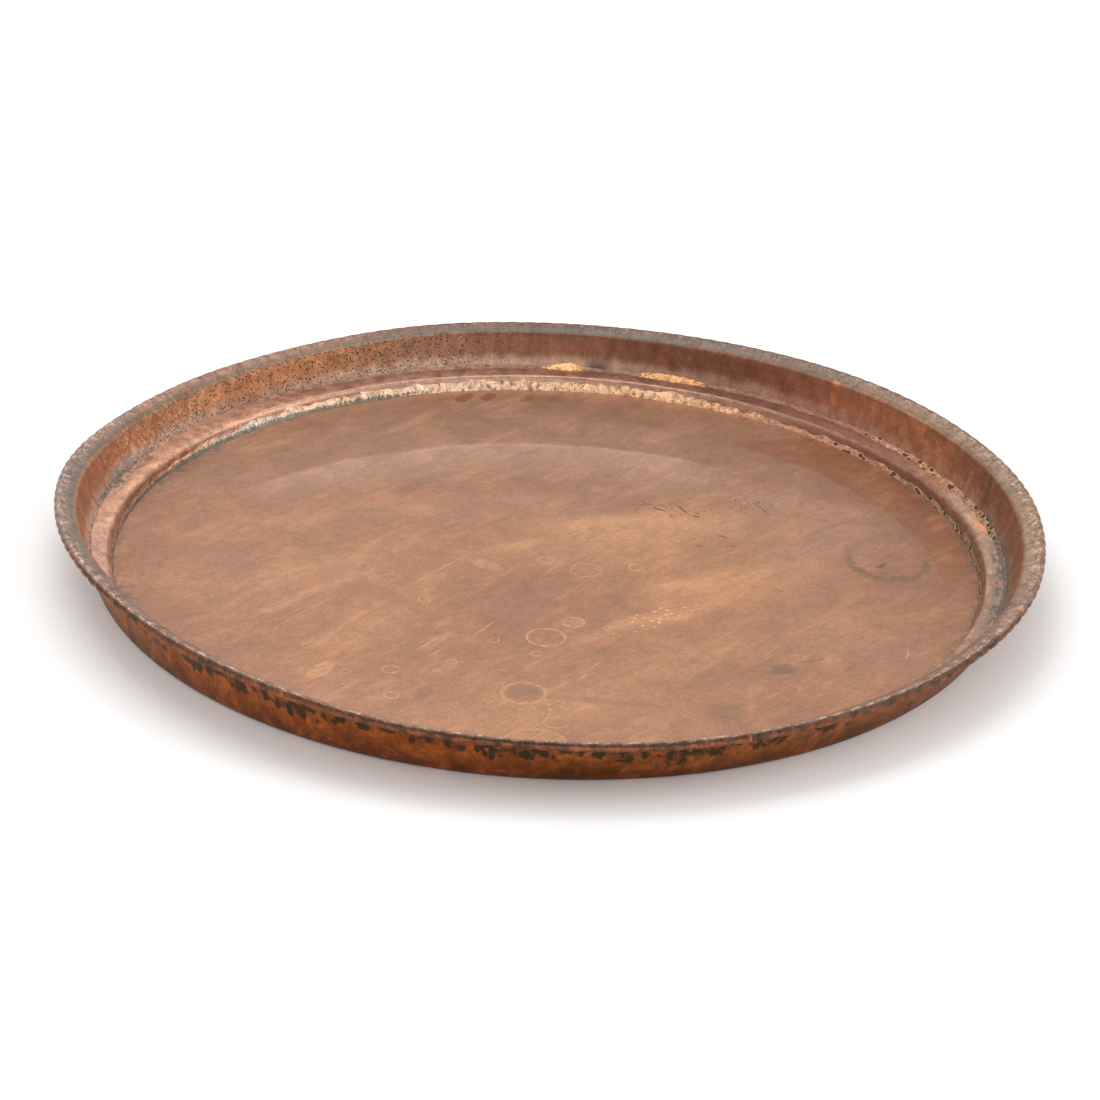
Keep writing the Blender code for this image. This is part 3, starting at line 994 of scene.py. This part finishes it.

# Broad smears on the floor, and one painted sheen: x, y, half length, half width in millimetres, turn,
# colour, strength.
FLOOR_SMEARS = [
    (-290, -20, 90, 170, 0, (0.42, 0.225, 0.145), 0.7),
    (-190, -40, 110, 60, 35, (0.51, 0.270, 0.165), 0.7),
    (-130, -130, 120, 32, 56, (0.50, 0.265, 0.155), 0.6),
    (-210, -150, 90, 25, 50, (0.40, 0.205, 0.130), 0.7),
    (80, 40, 140, 48, 24, (0.60, 0.315, 0.178), 0.9),
    (150, -40, 100, 55, 35, (0.56, 0.285, 0.155), 0.8),
    (62, 74, 80, 24, 14, (0.70, 0.375, 0.215), 0.8),
    (0, -50, 70, 34, 30, (0.375, 0.190, 0.115), 0.9),
    (-40, -40, 60, 20, 40, (0.40, 0.205, 0.125), 0.7),
    (100, -100, 90, 16, 38, (0.60, 0.315, 0.175), 0.6),
    (-180, 60, 120, 26, 24, (0.50, 0.265, 0.160), 0.6),
    (-17, -262, 46, 15, 10, (0.58, 0.310, 0.175), 0.5),
    (-92, -56, 30, 13, 56, (0.60, 0.310, 0.175), 0.7),
    (92, -104, 26, 8, 30, (0.66, 0.350, 0.190), 0.7),
    (40, -150, 20, 8, 45, (0.60, 0.315, 0.175), 0.6),
    (112, -42, 42, 15, 34, (0.66, 0.345, 0.190), 0.7),
    (-168, -60, 24, 8, 48, (0.62, 0.330, 0.190), 0.6),
    (70, -215, 34, 11, 35, (0.62, 0.325, 0.180), 0.7),
    (-240, -180, 18, 11, 40, (0.34, 0.190, 0.130), 0.5),
    (-250, -40, 26, 18, 30, (0.34, 0.195, 0.135), 0.6),
    (-172, 20, 44, 13, 30, (0.36, 0.195, 0.128), 0.6),
    (60, -75, 34, 11, 50, (0.34, 0.175, 0.110), 0.7),
    (20, -270, 150, 45, 5, (0.46, 0.240, 0.142), 0.9),
    (90, -190, 90, 35, 45, (0.51, 0.260, 0.150), 0.7),
    (-40, -120, 110, 40, 50, (0.385, 0.195, 0.120), 0.8),
    (40, -90, 60, 25, 50, (0.40, 0.200, 0.120), 0.8),
    (110, -120, 60, 18, 40, (0.40, 0.200, 0.120), 0.7),
    (220, -110, 100, 60, 50, (0.45, 0.240, 0.150), 0.8),
    (260, -150, 60, 60, 0, (0.47, 0.255, 0.165), 0.6),
    (240, 60, 110, 55, 60, (0.45, 0.255, 0.175), 0.9),
    # The next smear is a painted sheen, pinkish grey at the right of the far side.
    (190, 120, 80, 26, 50, (0.46, 0.270, 0.190), 0.7),
    (-150, -250, 90, 40, -25, (0.42, 0.222, 0.140), 0.6),
    (-60, 90, 170, 30, 12, (0.46, 0.260, 0.175), 0.6),
    (110, 150, 80, 18, 8, (0.40, 0.230, 0.155), 0.7),
    (60, 290, 90, 26, -8, (0.34, 0.170, 0.105), 0.8),
    (-120, 285, 110, 22, 10, (0.42, 0.235, 0.155), 0.7),
]
FLOOR_BASE = (0.400, 0.205, 0.126)
FLOOR_FAR = (0.395, 0.222, 0.142)
FLOOR_GREY = (0.49, 0.305, 0.215)


def floor_tone(points):
    """Broad colours of the floor's upper face."""
    x, y = points[:, 0] / MM, points[:, 1] / MM
    wander = grain(points, 50 * MM, 3) * 14
    tone = np.tile(np.array(FLOOR_BASE), (len(points), 1))
    for cx, cy, long, wide, turned, tint, strength in FLOOR_SMEARS:
        c, s = math.cos(math.radians(turned)), math.sin(math.radians(turned))
        u = ((x - cx) * c + (y - cy) * s) / long
        v = (-(x - cx) * s + (y - cy) * c + wander) / wide
        tone = lay_over(tone, tint, strength * np.exp(-1.6 * (u * u + v * v)))

    # The greyer band, with its sharp far edge, and the browner margin beyond it.
    edge = np.hypot(x / 1.08, y + 60) - 288 + wander * 0.25
    side = 1 - ease(x, 90, 190)
    grey = ease(edge, 2, -4) * ease(edge, -95, -10) * ease(y, 60, 150) * side
    tone = lay_over(tone, FLOOR_GREY, grey * 0.85)
    tone = lay_over(tone, FLOOR_FAR, ease(edge, -2, 6) * ease(y, 40, 120) * 0.85)

    # The red-brown crescent at the right of the far side.
    inner = np.hypot(x, y + 40) - 323.6 + wander * 0.12
    upper = 242 + 0.3 * (x - 158) - y
    crescent = ease(inner, -1.5, 3) * ease(upper, -8, 6) * ease(x, 140, 175) * ease(y, -60, 10)
    tone = lay_over(tone, (0.345, 0.160, 0.090), crescent * 0.85)
    # A thin pale line along the far edge of the grey band, a painted highlight.
    rim_line = np.exp(-((edge + 4) ** 2) / 8) * ease(y, 120, 190) * side
    return lay_over(tone, (0.62, 0.42, 0.32), rim_line * 0.3)


# ---------------------------------------------------------------- the pieces


def band(angle, low, high, soft=6.0):
    """Share inside a range of degrees that may cross zero."""
    middle = (low + high) / 2
    half = (high - low) / 2
    off = np.abs((np.degrees(angle) % 360 - middle + 180) % 360 - 180)
    return 1 - ease(off, half - soft, half + soft)


class TRAY_OT_add_floor_disc(bpy.types.Operator):
    """Add the flat hammered floor"""

    bl_idname = "tray.add_floor_disc"
    bl_label = "Floor Disc"

    def execute(self, context):
        sizes, colours = context.scene.tray_sizes, context.scene.tray_colours
        start_alone()
        bpy.ops.mesh.primitive_grid_add(
            x_subdivisions=FLOOR_COLUMNS, y_subdivisions=FLOOR_COLUMNS, size=2.0
        )
        piece = name_piece("floor_plate")
        square = points_of(piece)
        # The square plate is drawn into a round one, ring by ring.
        across = np.abs(square[:, 0]) >= np.abs(square[:, 1])
        lead = np.where(across, square[:, 0], square[:, 1])
        other = np.where(across, square[:, 1], square[:, 0])
        slant = other / np.where(np.abs(lead) < 1e-9, 1, lead) * math.pi / 4
        angle = np.where(across, slant, math.pi / 2 - slant) + np.where(lead < 0, math.pi, 0)
        radius = np.abs(lead) * FLOOR.x
        mid = FLOOR.z - sizes.floor_gauge / 2
        flat = round_points(angle, radius, radius * 0)
        broad = grain(flat, 75 * MM, 1) * 0.55 + grain(flat, 30 * MM, 2) * 0.22
        blows = facets(flat, 21 * MM, 1) * -0.10
        fade = 1 - ease(radius, 335 * MM, 352 * MM)
        height = mid + (broad + blows) * MM * fade * ease(radius, 0, 30 * MM)
        shift = waves(angle, FOOT_SPREAD) * ease(radius, 330 * MM, 358 * MM)
        set_round(piece, angle, radius + shift, height)
        points = points_of(piece)
        paint(piece, "tone", floor_tone(points))
        sides = np.maximum(band(angle, 150, 215, 14), band(angle, -40, 30, 14))
        pale = np.maximum(band(angle, 192, 216, 6), band(angle, 138, 166, 6))
        pale = pale * ease(radius, 334 * MM, 346 * MM)
        corner = ease(radius, 346 * MM, 353 * MM) * (0.08 + 0.72 * sides)
        mark(piece, "green", np.maximum(corner, 0.7 * pale))
        face_inwards(piece, Vector((0.1, 0, mid)))
        make_sheet(piece, sizes.floor_gauge, [floor_finish(colours), underside_finish()])
        fit_to_frame(piece, "floor_disc")
        return {"FINISHED"}


def crimp_shape(angle, sizes):
    """From 0 on the swell between two notches to 1 in the bottom of a notch."""
    drift = waves(angle, [(3, 2.6, 20), (7, 1.3, 80), (17, 0.7, 10)]) / (400 * MM)
    turns = (angle + drift) * sizes.crimps / math.tau
    phase = np.abs((turns + 0.5) % 1.0 - 0.5)
    dice = random.Random(7)
    depths = np.array([dice.uniform(0.62, 1.0) for _ in range(sizes.crimps + 1)])
    depth = depths[np.round(turns).astype(int) % sizes.crimps]
    return np.exp(-((phase / 0.17) ** 2)) * depth


class TRAY_OT_add_wall_sheet(bpy.types.Operator):
    """Add the wall with its crimped, rolled lip"""

    bl_idname = "tray.add_wall_sheet"
    bl_label = "Wall Sheet"

    def execute(self, context):
        sizes, colours = context.scene.tray_sizes, context.scene.tray_colours
        outline, starts = wall_outline(sizes)
        piece = draw_ring("wall_and_rim", outline, sizes.crimps * NOTCH_COLUMNS)
        points = points_of(piece)
        row, angle = rows_of(points, outline)
        rows = np.asarray(outline)
        radius, height = rows[row, 0], rows[row, 1]
        along_rows = lengths_along(outline)
        along = along_rows[row]
        round_flat = round_points(angle, WALL_REACH, along)
        round_level = round_points(angle, WALL_REACH, along * 0)

        # Crimps across the roll and the lip's outer margin.
        crisp = 0.45 + 0.55 * np.maximum(band(angle, 165, 345, 20), 0.8 * band(angle, -30, 15, 15))
        notch = crimp_shape(angle, sizes) * crisp
        in_roll = row < starts["lip"]
        from_roll = np.maximum(along - along_rows[starts["lip"] - 1], 0)
        off_centre = np.stack([radius - ROLL_CENTRE[0], height - ROLL_CENTRE[1]], axis=1)
        outward = off_centre / np.linalg.norm(off_centre, axis=1)[:, None]
        swing = np.arctan2(outward[:, 1], outward[:, 0])
        open_side = ease(swing, -2.3, -1.2) * (1 - ease(swing, 1.7, 2.1)) * in_roll
        flare = 1 - 0.5 * ease(swing, 0.3, 1.4) - 0.8 * ease(-swing, 0.2, 1.3)
        swell = (sizes.crimp_depth * flare * (crisp - notch) - 0.25 * MM * notch) * open_side
        radius = radius + outward[:, 0] * swell
        height = height + outward[:, 1] * swell
        on_lip = (~in_roll) & (row < starts["shoulder"])
        lip_fade = np.where(on_lip | in_roll, 1 - ease(from_roll, 2.0 * MM, 8.0 * MM), 0)
        top_side = np.where(in_roll, ease(swing, 0.6, 1.9), 1.0)
        height = height + lip_fade * top_side * (0.25 * MM * (crisp - notch) - 0.6 * MM * notch)

        # Hammer blows on the wall and the lip.
        on_side = (row >= starts["shoulder"]) & (row < starts["bend"])
        fade = on_side * np.minimum(ease(height, 8 * MM, 15 * MM), 1)
        blows = facets(round_flat, 13 * MM, 2)
        rough = grain(round_flat, 9 * MM, 4) * 0.5 + grain(round_flat, 28 * MM, 5) * 0.9
        radius = radius + fade * (sizes.hammer_depth * (blows - 0.5) + rough * 0.45 * MM)
        uneven = grain(round_flat, 8 * MM, 6) * 0.35 + grain(round_flat, 26 * MM, 7) * 0.5
        height = height + on_lip * uneven * MM
        front = band(angle, 224, 314, 34)
        dip = np.where(in_roll, 0, ease(from_roll, 0, 15 * MM)) * np.clip(rows[row, 1] / WALL_END, 0, 1)
        height = height - LIP_DIP * front * dip
        radius, height = settle(angle, radius, height)
        set_round(piece, angle, radius, height)

        # Broad colours of the side that is seen from above, with the painted light and shade of the wall's
        # tables.
        share = np.clip((rows[row, 1] - 14 * MM) / (44 * MM - 14 * MM), 0, 1)
        ragged = grain(round_flat, 10 * MM, 8) * 0.10 + grain(round_flat, 35 * MM, 9) * 0.10
        highness = ease(share + ragged, 0.22, 0.52)
        tone = lay_over(round_keys(angle, LOWER_WALL), round_keys(angle, UPPER_WALL), highness)
        near_roll = ease(from_roll + ragged * 14 * MM, 9.0 * MM, 5.0 * MM)
        lip = lay_over(round_keys(angle, LIP_INNER), round_keys(angle, LIP_OUTER), near_roll)
        tone = np.where((row < starts["shoulder"])[:, None], lip, tone * 1.32)
        facing = band(angle, 205, 335, 14)
        burnt = np.tile((0.24, 0.078, 0.030), (len(points), 1))
        burnt = lay_over(burnt, (0.070, 0.028, 0.018), ease(swing, 0.0, 0.7))
        burnt = lay_over(burnt, (0.030, 0.030, 0.021), ease(grain(round_level, 8 * MM, 16), -0.05, 0.3) * 0.7)
        roll_low = in_roll * (1 - ease(swing, -0.1 + 0.95 * facing, 0.9 + 0.6 * facing))
        tone = lay_over(tone, burnt, roll_low * 0.95)
        edge_rows = (row >= starts["shoulder"] - 1) & (row < starts["side"])
        # Painted shade on the shoulder at the left, which tones down the highlight it catches, and a painted
        # shadow under the lip at the far side.
        tone = lay_over(tone, (0.30, 0.16, 0.095), edge_rows * 0.6 * band(angle, 122, 172, 10))
        tone = lay_over(tone, (0.13, 0.075, 0.050), edge_rows * 0.45 * band(angle, 10, 100, 12))
        streak = band(angle, 47.6, 48.6, 0.5) * on_side * ease(share, 0.3, 0.5)
        tone = lay_over(tone, (0.50, 0.20, 0.09), streak * 0.7)
        drip = band(angle, 82.6, 85.4, 0.9) * ease(share, 0.55, 0.1) * on_side
        tone = lay_over(tone, (0.06, 0.045, 0.034), drip * 0.9)
        paint(piece, "tone", tone)
        # crest runs from the notch bottoms to the crests; it places the painted shade in the notches and the
        # painted highlight on the crests.
        mark(piece, "crest", lip_fade * top_side * (1 - 2 * notch) * crisp)
        low_third = on_side * ease(share, 0.45, 0.15)
        far_lip = 0.12 + 0.34 * band(angle, 50, 205, 12) + 0.4 * band(angle, 3, 14, 4)
        green = on_lip * ease(from_roll, 3 * MM, 7 * MM) * far_lip
        green = np.maximum(green, low_third * (band(angle, -18, 13, 5) + 0.75 * band(angle, 158, 172, 5)))
        green = np.maximum(green, on_side * 0.25 * band(angle, 60, 100, 10) * low_third)
        mark(piece, "green", np.clip(green, 0, 1))
        mark(piece, "lip", (row < starts["shoulder"]) * 1.0)
        mark(piece, "pitted", on_side * (0.05 + 0.95 * band(angle, 100, 162, 8)))
        mark(piece, "mottled", np.where(on_side, 0.25 + 0.75 * band(angle, 98, 168, 12), 1.0))

        # Broad colours of the outside, darker towards the foot by painted shade where the wall curves under.
        drop = np.clip((44 * MM - rows[row, 1]) / (44 * MM), 0, 1)
        lowness = ease(drop + ragged, 0.35, 0.95)
        outside = lay_over(round_keys(angle, OUTSIDE_UPPER), round_keys(angle, OUTSIDE_LOWER), lowness)
        paint(piece, "tone_out", outside * np.array((1.75, 1.55, 1.0)))
        below = grain(round_level, 22 * MM, 11) + 0.5 * grain(round_level, 8 * MM, 15)
        depth = np.maximum(0.52 + 0.34 * below + 0.16 * band(angle, 262, 306, 12), 0.2)
        sooty = (1 - ease(drop, depth * 0.45, depth)) * ease(row, starts["lip"], starts["shoulder"])
        sooty = sooty * (0.42 + 0.58 * band(angle, 205, 305, 10))
        mark(piece, "sooty", sooty)
        mark_place(piece, angle, WALL_REACH, along)

        face_inwards(piece, Vector((0.377, 0, 0.026)))
        make_sheet(piece, sizes.wall_gauge, [wall_inside_finish(colours), wall_outside_finish(colours)])
        fit_to_frame(piece, "wall_sheet")
        return {"FINISHED"}


class TRAY_OT_add_step_strip(bpy.types.Operator):
    """Add the strip that makes the raised border inside"""

    bl_idname = "tray.add_step_strip"
    bl_label = "Step Strip"

    def execute(self, context):
        sizes, colours = context.scene.tray_sizes, context.scene.tray_colours
        outline, starts = step_outline(sizes)
        piece = draw_ring("raised_border", outline, STEP_SEGMENTS)
        points = points_of(piece)
        row, angle = rows_of(points, outline)
        rows = np.asarray(outline)
        radius, height = rows[row, 0], rows[row, 1]
        along = lengths_along(outline)[row]
        round_flat = round_points(angle, STEP_REACH, along)
        across = np.clip((radius - rows[starts["riser"], 0]) / (rows[0, 0] - rows[starts["riser"], 0]), 0, 1)
        upper = row < starts["foot_bend"]
        wavy = grain(round_flat, 40 * MM, 12) * 0.45 + grain(round_flat, 14 * MM, 13) * 0.22
        height = height + upper * wavy * MM * (1 - across) * 0.9
        radius = radius + upper * grain(round_flat, 30 * MM, 14) * 0.35 * MM * (1 - across)
        radius, height = settle(angle, radius, height, across * ease(across, 0.0, 0.6))
        set_round(piece, angle, radius, height)

        on_riser = row >= starts["top_bend"] + 2
        tone = np.where(on_riser[:, None], round_keys(angle, RISER), round_keys(angle, LEDGE))
        bend = (row >= starts["top_bend"]) & (row < starts["top_bend"] + 3)
        # Painted highlight along the bend at the left and the far side, and painted shade on the bend at the
        # right.
        tone = lay_over(tone, (0.62, 0.38, 0.27), bend * 0.3 * band(angle, 70, 200, 14))
        tone = lay_over(tone, (0.15, 0.085, 0.060), bend * 0.55 * band(angle, 2, 62, 10))
        glow = band(angle, 8.5, 13, 1.5) * (row < starts["top_bend"]) * ease(across, 0.3, 0.7)
        tone = lay_over(tone, (0.85, 0.36, 0.18), glow * 0.95)
        paint(piece, "tone", tone)
        ledge = row < starts["top_bend"]
        # The red mark: red-brown oxide, and painted shade on the riser at both sides.
        sides = np.maximum(band(angle, 20, 55, 8), band(angle, 118, 178, 10))
        mark(piece, "red", (row >= starts["riser"]) * sides * 0.75 + ledge * 0.35 * band(angle, 28, 62, 8))
        corners = band(angle, -20, 4, 5) + 0.8 * band(angle, 156, 172, 5) + 0.12
        green = ledge * ease(across, 0.3, 0.7) * corners
        green = np.maximum(green, (row >= starts["riser"] + 1) * 0.5 * band(angle, -35, 30, 10))
        mark(piece, "green", np.clip(green, 0, 1))
        mark_place(piece, angle, STEP_REACH, along)
        face_inwards(piece, Vector((0.365, 0, 0.0145)))
        make_sheet(piece, sizes.step_gauge, [step_finish(colours), underside_finish()])
        fit_to_frame(piece, "step_strip")
        return {"FINISHED"}


# A spelter run's section: shares of its reach along the bed and of its climb up the wall.
BEAD_SECTION = [
    (0.0, 0.0), (0.5, 0.0), (1.0, 0.0), (0.86, 0.22), (0.66, 0.44), (0.44, 0.66), (0.22, 0.86),
    (0.0, 1.0), (0.0, 0.5),
]


def add_bead(name, heel, bed, climb, swell, lean_share):
    """A lumpy run of spelter in a corner. Returns the piece with its angles and section rows."""
    count = len(BEAD_SECTION)
    hoop = arc(np.array((heel[0], 0.0)), 2 * MM, 0, math.tau, count)
    piece = draw_ring(name, hoop, BEAD_SEGMENTS)
    edit_all(bpy.ops.mesh.remove_doubles, threshold=0.1 * MM)
    points = points_of(piece)
    angle = np.arctan2(points[:, 1], points[:, 0])
    spoke = np.arctan2(points[:, 2], np.hypot(points[:, 0], points[:, 1]) - heel[0])
    row = np.round(spoke / math.tau * count).astype(int) % count
    section = np.asarray(BEAD_SECTION)
    size = swell(angle)
    ring = round_points(angle, heel[0], row * 1.2 * MM)
    lump = 1 + 0.26 * grain(ring, 6.5 * MM, 21) + 0.42 * grain(ring, 13 * MM, 22)
    lump = np.where((row >= 2) & (row <= 7), lump, 1.0) * size
    radius = heel[0] + lump * (section[row, 0] * bed[0] + section[row, 1] * climb[0])
    height = heel[1] + lump * (section[row, 0] * bed[1] + section[row, 1] * climb[1])
    radius, height = settle(angle, radius, height, lean_share)
    set_round(piece, angle, radius, height)
    edit_all(bpy.ops.mesh.normals_make_consistent, inside=False)
    mark_place(piece, angle, heel[0], row * 1.2 * MM)
    return piece, angle, row


def paint_bead(piece, tone, bright, brass_and_highlight, green, finish):
    paint(piece, "tone", tone)
    paint(piece, "bright", bright)
    mark(piece, "brass_and_highlight", np.clip(brass_and_highlight, 0, 1))
    mark(piece, "green", np.clip(green, 0, 1))
    piece.data.materials.append(finish)
    smooth(piece, 60)


class TRAY_OT_add_spelter(bpy.types.Operator):
    """Add the two runs of brazing brass along the step strip"""

    bl_idname = "tray.add_spelter"
    bl_label = "Spelter Runs"

    def execute(self, context):
        colours = context.scene.tray_colours
        box_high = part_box("floor_spelter")[1]
        heel = np.array((box_high.x - 0.7 * MM, FLOOR.z + 0.05 * MM))
        climb = np.array((2.3 * MM, 6.2 * MM))

        def floor_swell(angle):
            full = 0.66 + 0.62 * band(angle, 62, 150, 16)
            ring = round_points(angle, heel[0], angle * 0)
            return full + 0.20 * grain(ring, 16 * MM, 24)

        piece, angle, row = add_bead(
            "floor_bead", heel, np.array((-2.4 * MM, 0.0)), climb, floor_swell, 0.0
        )
        tone = round_keys(angle, [
            (0, 0.36, 0.2, 0.135), (60, 0.4, 0.205, 0.13), (100, 0.46, 0.27, 0.18),
            (150, 0.52, 0.24, 0.14), (200, 0.44, 0.27, 0.195), (300, 0.38, 0.23, 0.165),
        ])
        # The bright keys and the share below put a painted highlight over the brass at the far side and the
        # left, where the bead faces the light.
        bright = round_keys(angle, [
            (0, 0.6, 0.33, 0.2), (50, 0.68, 0.35, 0.19), (75, 0.8, 0.48, 0.28),
            (105, 0.8, 0.56, 0.4), (122, 0.8, 0.51, 0.35), (136, 0.7, 0.56, 0.46),
            (146, 0.62, 0.47, 0.38), (155, 0.84, 0.4, 0.22), (165, 0.7, 0.4, 0.27),
            (185, 0.56, 0.35, 0.255), (300, 0.54, 0.31, 0.2),
        ])
        brass_and_highlight = 0.25 + 0.55 * band(angle, 58, 162, 14)
        low = np.where(np.isin(row, (2, 3)), 1.0, np.where(row == 4, 0.55, 0.2))
        sides = np.maximum(band(angle, 112, 172, 10), 0.6 * band(angle, -42, 30, 12))
        green = low * (0.30 + 0.42 * sides) + 0.12 * band(angle, 150, 205, 10)
        mark(piece, "pits", band(angle, -30, 56, 10))
        paint_bead(piece, tone, bright, brass_and_highlight, green, spelter_finish("floor_spelter_brass", colours))
        fit_to_frame(piece, "floor_spelter")

        box_low, box_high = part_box("wall_spelter")
        heel = np.array((box_high.x - 1.15 * MM, box_low.z + 0.15 * MM))

        def wall_swell(angle):
            lumps = 0.42 * band(angle, 86, 91, 2) + 0.42 * band(angle, 69, 77, 3)
            full = 0.50 + lumps + 0.22 * band(angle, -2, 42, 6)
            ring = round_points(angle, heel[0], angle * 0)
            return full + 0.2 * grain(ring, 12 * MM, 25)

        piece, angle, row = add_bead(
            "wall_bead",
            heel,
            np.array((-4.2 * MM, -0.45 * MM)),
            np.array((1.25 * MM, 4.0 * MM)),
            wall_swell,
            0.9,
        )
        # The wall bead's tone is the mean of LEDGE and LOWER_WALL, and so takes along the painted light and
        # shade that LOWER_WALL holds.
        tone = (round_keys(angle, LEDGE) + round_keys(angle, LOWER_WALL)) / 2
        bright = round_keys(angle, [
            (10, 0.62, 0.33, 0.16), (60, 0.66, 0.34, 0.15), (75, 0.74, 0.37, 0.165),
            (90, 1.0, 0.54, 0.25), (120, 0.52, 0.3, 0.2), (240, 0.46, 0.27, 0.18),
        ])
        brass_and_highlight = 0.08 + 0.8 * np.maximum(band(angle, 86, 91.5, 1.5), band(angle, 68, 78, 2.5))
        brass_and_highlight = np.maximum(brass_and_highlight, 0.5 * band(angle, 2, 42, 6))
        green = 0.16 + 0.44 * band(angle, -18, 8, 6) + 0.42 * band(angle, 156, 176, 6)
        green = green * (1 - 0.8 * np.maximum(band(angle, 85, 92, 2), band(angle, 67, 79, 2)))
        mark(piece, "pits", band(angle, 2, 44, 6))
        paint_bead(piece, tone, bright, brass_and_highlight, green, spelter_finish("wall_spelter_brass", colours))
        fit_to_frame(piece, "wall_spelter")
        return {"FINISHED"}


class TRAY_OT_add_rim_wire(bpy.types.Operator):
    """Add the iron wire inside the rolled rim"""

    bl_idname = "tray.add_rim_wire"
    bl_label = "Rim Wire"

    def execute(self, context):
        start_alone()
        thick = (WIRE_HIGH.z - WIRE_LOW.z) / 2
        bpy.ops.mesh.primitive_torus_add(
            major_segments=WIRE_SEGMENTS, minor_segments=10, major_radius=ROLL_CENTRE[0], minor_radius=thick
        )
        piece = name_piece("wire_in_rim")
        points = points_of(piece)
        angle = np.arctan2(points[:, 1], points[:, 0])
        radius = np.hypot(points[:, 0], points[:, 1])
        middle = np.full(len(points), ROLL_CENTRE[1])
        new_radius, new_middle = settle(angle, radius, middle)
        set_round(piece, angle, new_radius, points[:, 2] + new_middle)
        piece.data.materials.append(iron_finish(context.scene.tray_colours))
        smooth(piece, 60)
        fit_to_frame(piece, "rim_wire")
        return {"FINISHED"}


# ---------------------------------------------------------------- the stage

CAMERA_PLACE = (0.0023, -2.3711, 1.1338)
CAMERA_RISE = math.radians(25.41)
CAMERA_ROLL = math.radians(2.307)
CAMERA_LENS = 104.73


def add_lamp(name, place, aim, size, power):
    light = bpy.data.lights.new(name, "AREA")
    light.shape = "RECTANGLE"
    light.size, light.size_y = size
    light.energy = power
    lamp = bpy.data.objects.new(name, light)
    lamp.location = place
    lamp.rotation_euler = (Vector(aim) - Vector(place)).to_track_quat("-Z", "Y").to_euler()
    bpy.context.scene.collection.objects.link(lamp)


class TRAY_OT_add_stage(bpy.types.Operator):
    """Add the plain floor, the soft light and the camera"""

    bl_idname = "tray.add_stage"
    bl_label = "Stage"

    def execute(self, context):
        scene = context.scene
        start_alone()
        bpy.ops.mesh.primitive_plane_add(size=14.0)
        ground = name_piece("ground")
        finish = Finish("pale_ground", 0.0, 0.9)
        finish.shader.inputs["Base Color"].default_value = (*scene.tray_colours.stage, 1.0)
        ground.data.materials.append(finish.material)

        world = bpy.data.worlds.new("studio")
        world.use_nodes = True
        sky = world.node_tree.nodes["Background"]
        sky.inputs["Color"].default_value = (1.0, 0.99, 0.98, 1.0)
        sky.inputs["Strength"].default_value = 0.76
        scene.world = world
        scene.view_settings.view_transform = "Standard"
        add_lamp("overhead", (-0.6, 1.0, 2.6), (0, 0, 0), (2.4, 1.8), 34)
        add_lamp("side", (-2.4, -0.6, 1.5), (0, 0, 0), (1.6, 1.6), 14)
        add_lamp("far_side", (2.4, -0.3, 1.3), (0, 0, 0), (1.6, 1.6), 22)
        add_lamp("front", (0.4, -3.2, 0.9), (0, 0, 0), (3.0, 1.6), 28)

        camera = bpy.data.objects.new("camera", bpy.data.cameras.new("camera"))
        scene.collection.objects.link(camera)
        back = Vector((0, -math.cos(CAMERA_RISE), math.sin(CAMERA_RISE)))
        up = Vector((0, math.sin(CAMERA_RISE), math.cos(CAMERA_RISE)))
        right = Vector((1, 0, 0))
        across = right * math.cos(CAMERA_ROLL) + up * math.sin(CAMERA_ROLL)
        upward = up * math.cos(CAMERA_ROLL) - right * math.sin(CAMERA_ROLL)
        turned = Matrix((across, upward, back)).transposed().to_4x4()
        camera.matrix_world = Matrix.Translation(CAMERA_PLACE) @ turned
        camera.data.sensor_width = 36.0
        camera.data.lens = CAMERA_LENS
        camera.data.clip_start, camera.data.clip_end = 0.05, 60.0
        scene.camera = camera
        return {"FINISHED"}


class TRAY_PT_pieces(bpy.types.Panel):
    """Lists the tray's pieces in the sidebar"""

    bl_label = "Hammered Copper Tray"
    bl_idname = "TRAY_PT_pieces"
    bl_space_type = "VIEW_3D"
    bl_region_type = "UI"
    bl_category = "Tray"

    def draw(self, context):
        for operator in OPERATORS:
            self.layout.operator(operator.bl_idname)
        for settings in (context.scene.tray_sizes, context.scene.tray_colours):
            column = self.layout.column()
            for name in settings.__annotations__:
                column.prop(settings, name)


OPERATORS = (
    TRAY_OT_add_floor_disc,
    TRAY_OT_add_wall_sheet,
    TRAY_OT_add_step_strip,
    TRAY_OT_add_spelter,
    TRAY_OT_add_rim_wire,
    TRAY_OT_add_stage,
)
CLASSES = (TraySizes, TrayColours, *OPERATORS, TRAY_PT_pieces)


def register():
    for item in CLASSES:
        bpy.utils.register_class(item)
    bpy.types.Scene.tray_sizes = bpy.props.PointerProperty(type=TraySizes)
    bpy.types.Scene.tray_colours = bpy.props.PointerProperty(type=TrayColours)


def unregister():
    del bpy.types.Scene.tray_colours
    del bpy.types.Scene.tray_sizes
    for item in reversed(CLASSES):
        bpy.utils.unregister_class(item)


def main():
    register()
    bpy.ops.tray.add_floor_disc()
    bpy.ops.tray.add_wall_sheet()
    bpy.ops.tray.add_step_strip()
    bpy.ops.tray.add_spelter()
    bpy.ops.tray.add_rim_wire()
    bpy.ops.tray.add_stage()


if __name__ == "__main__":
    main()
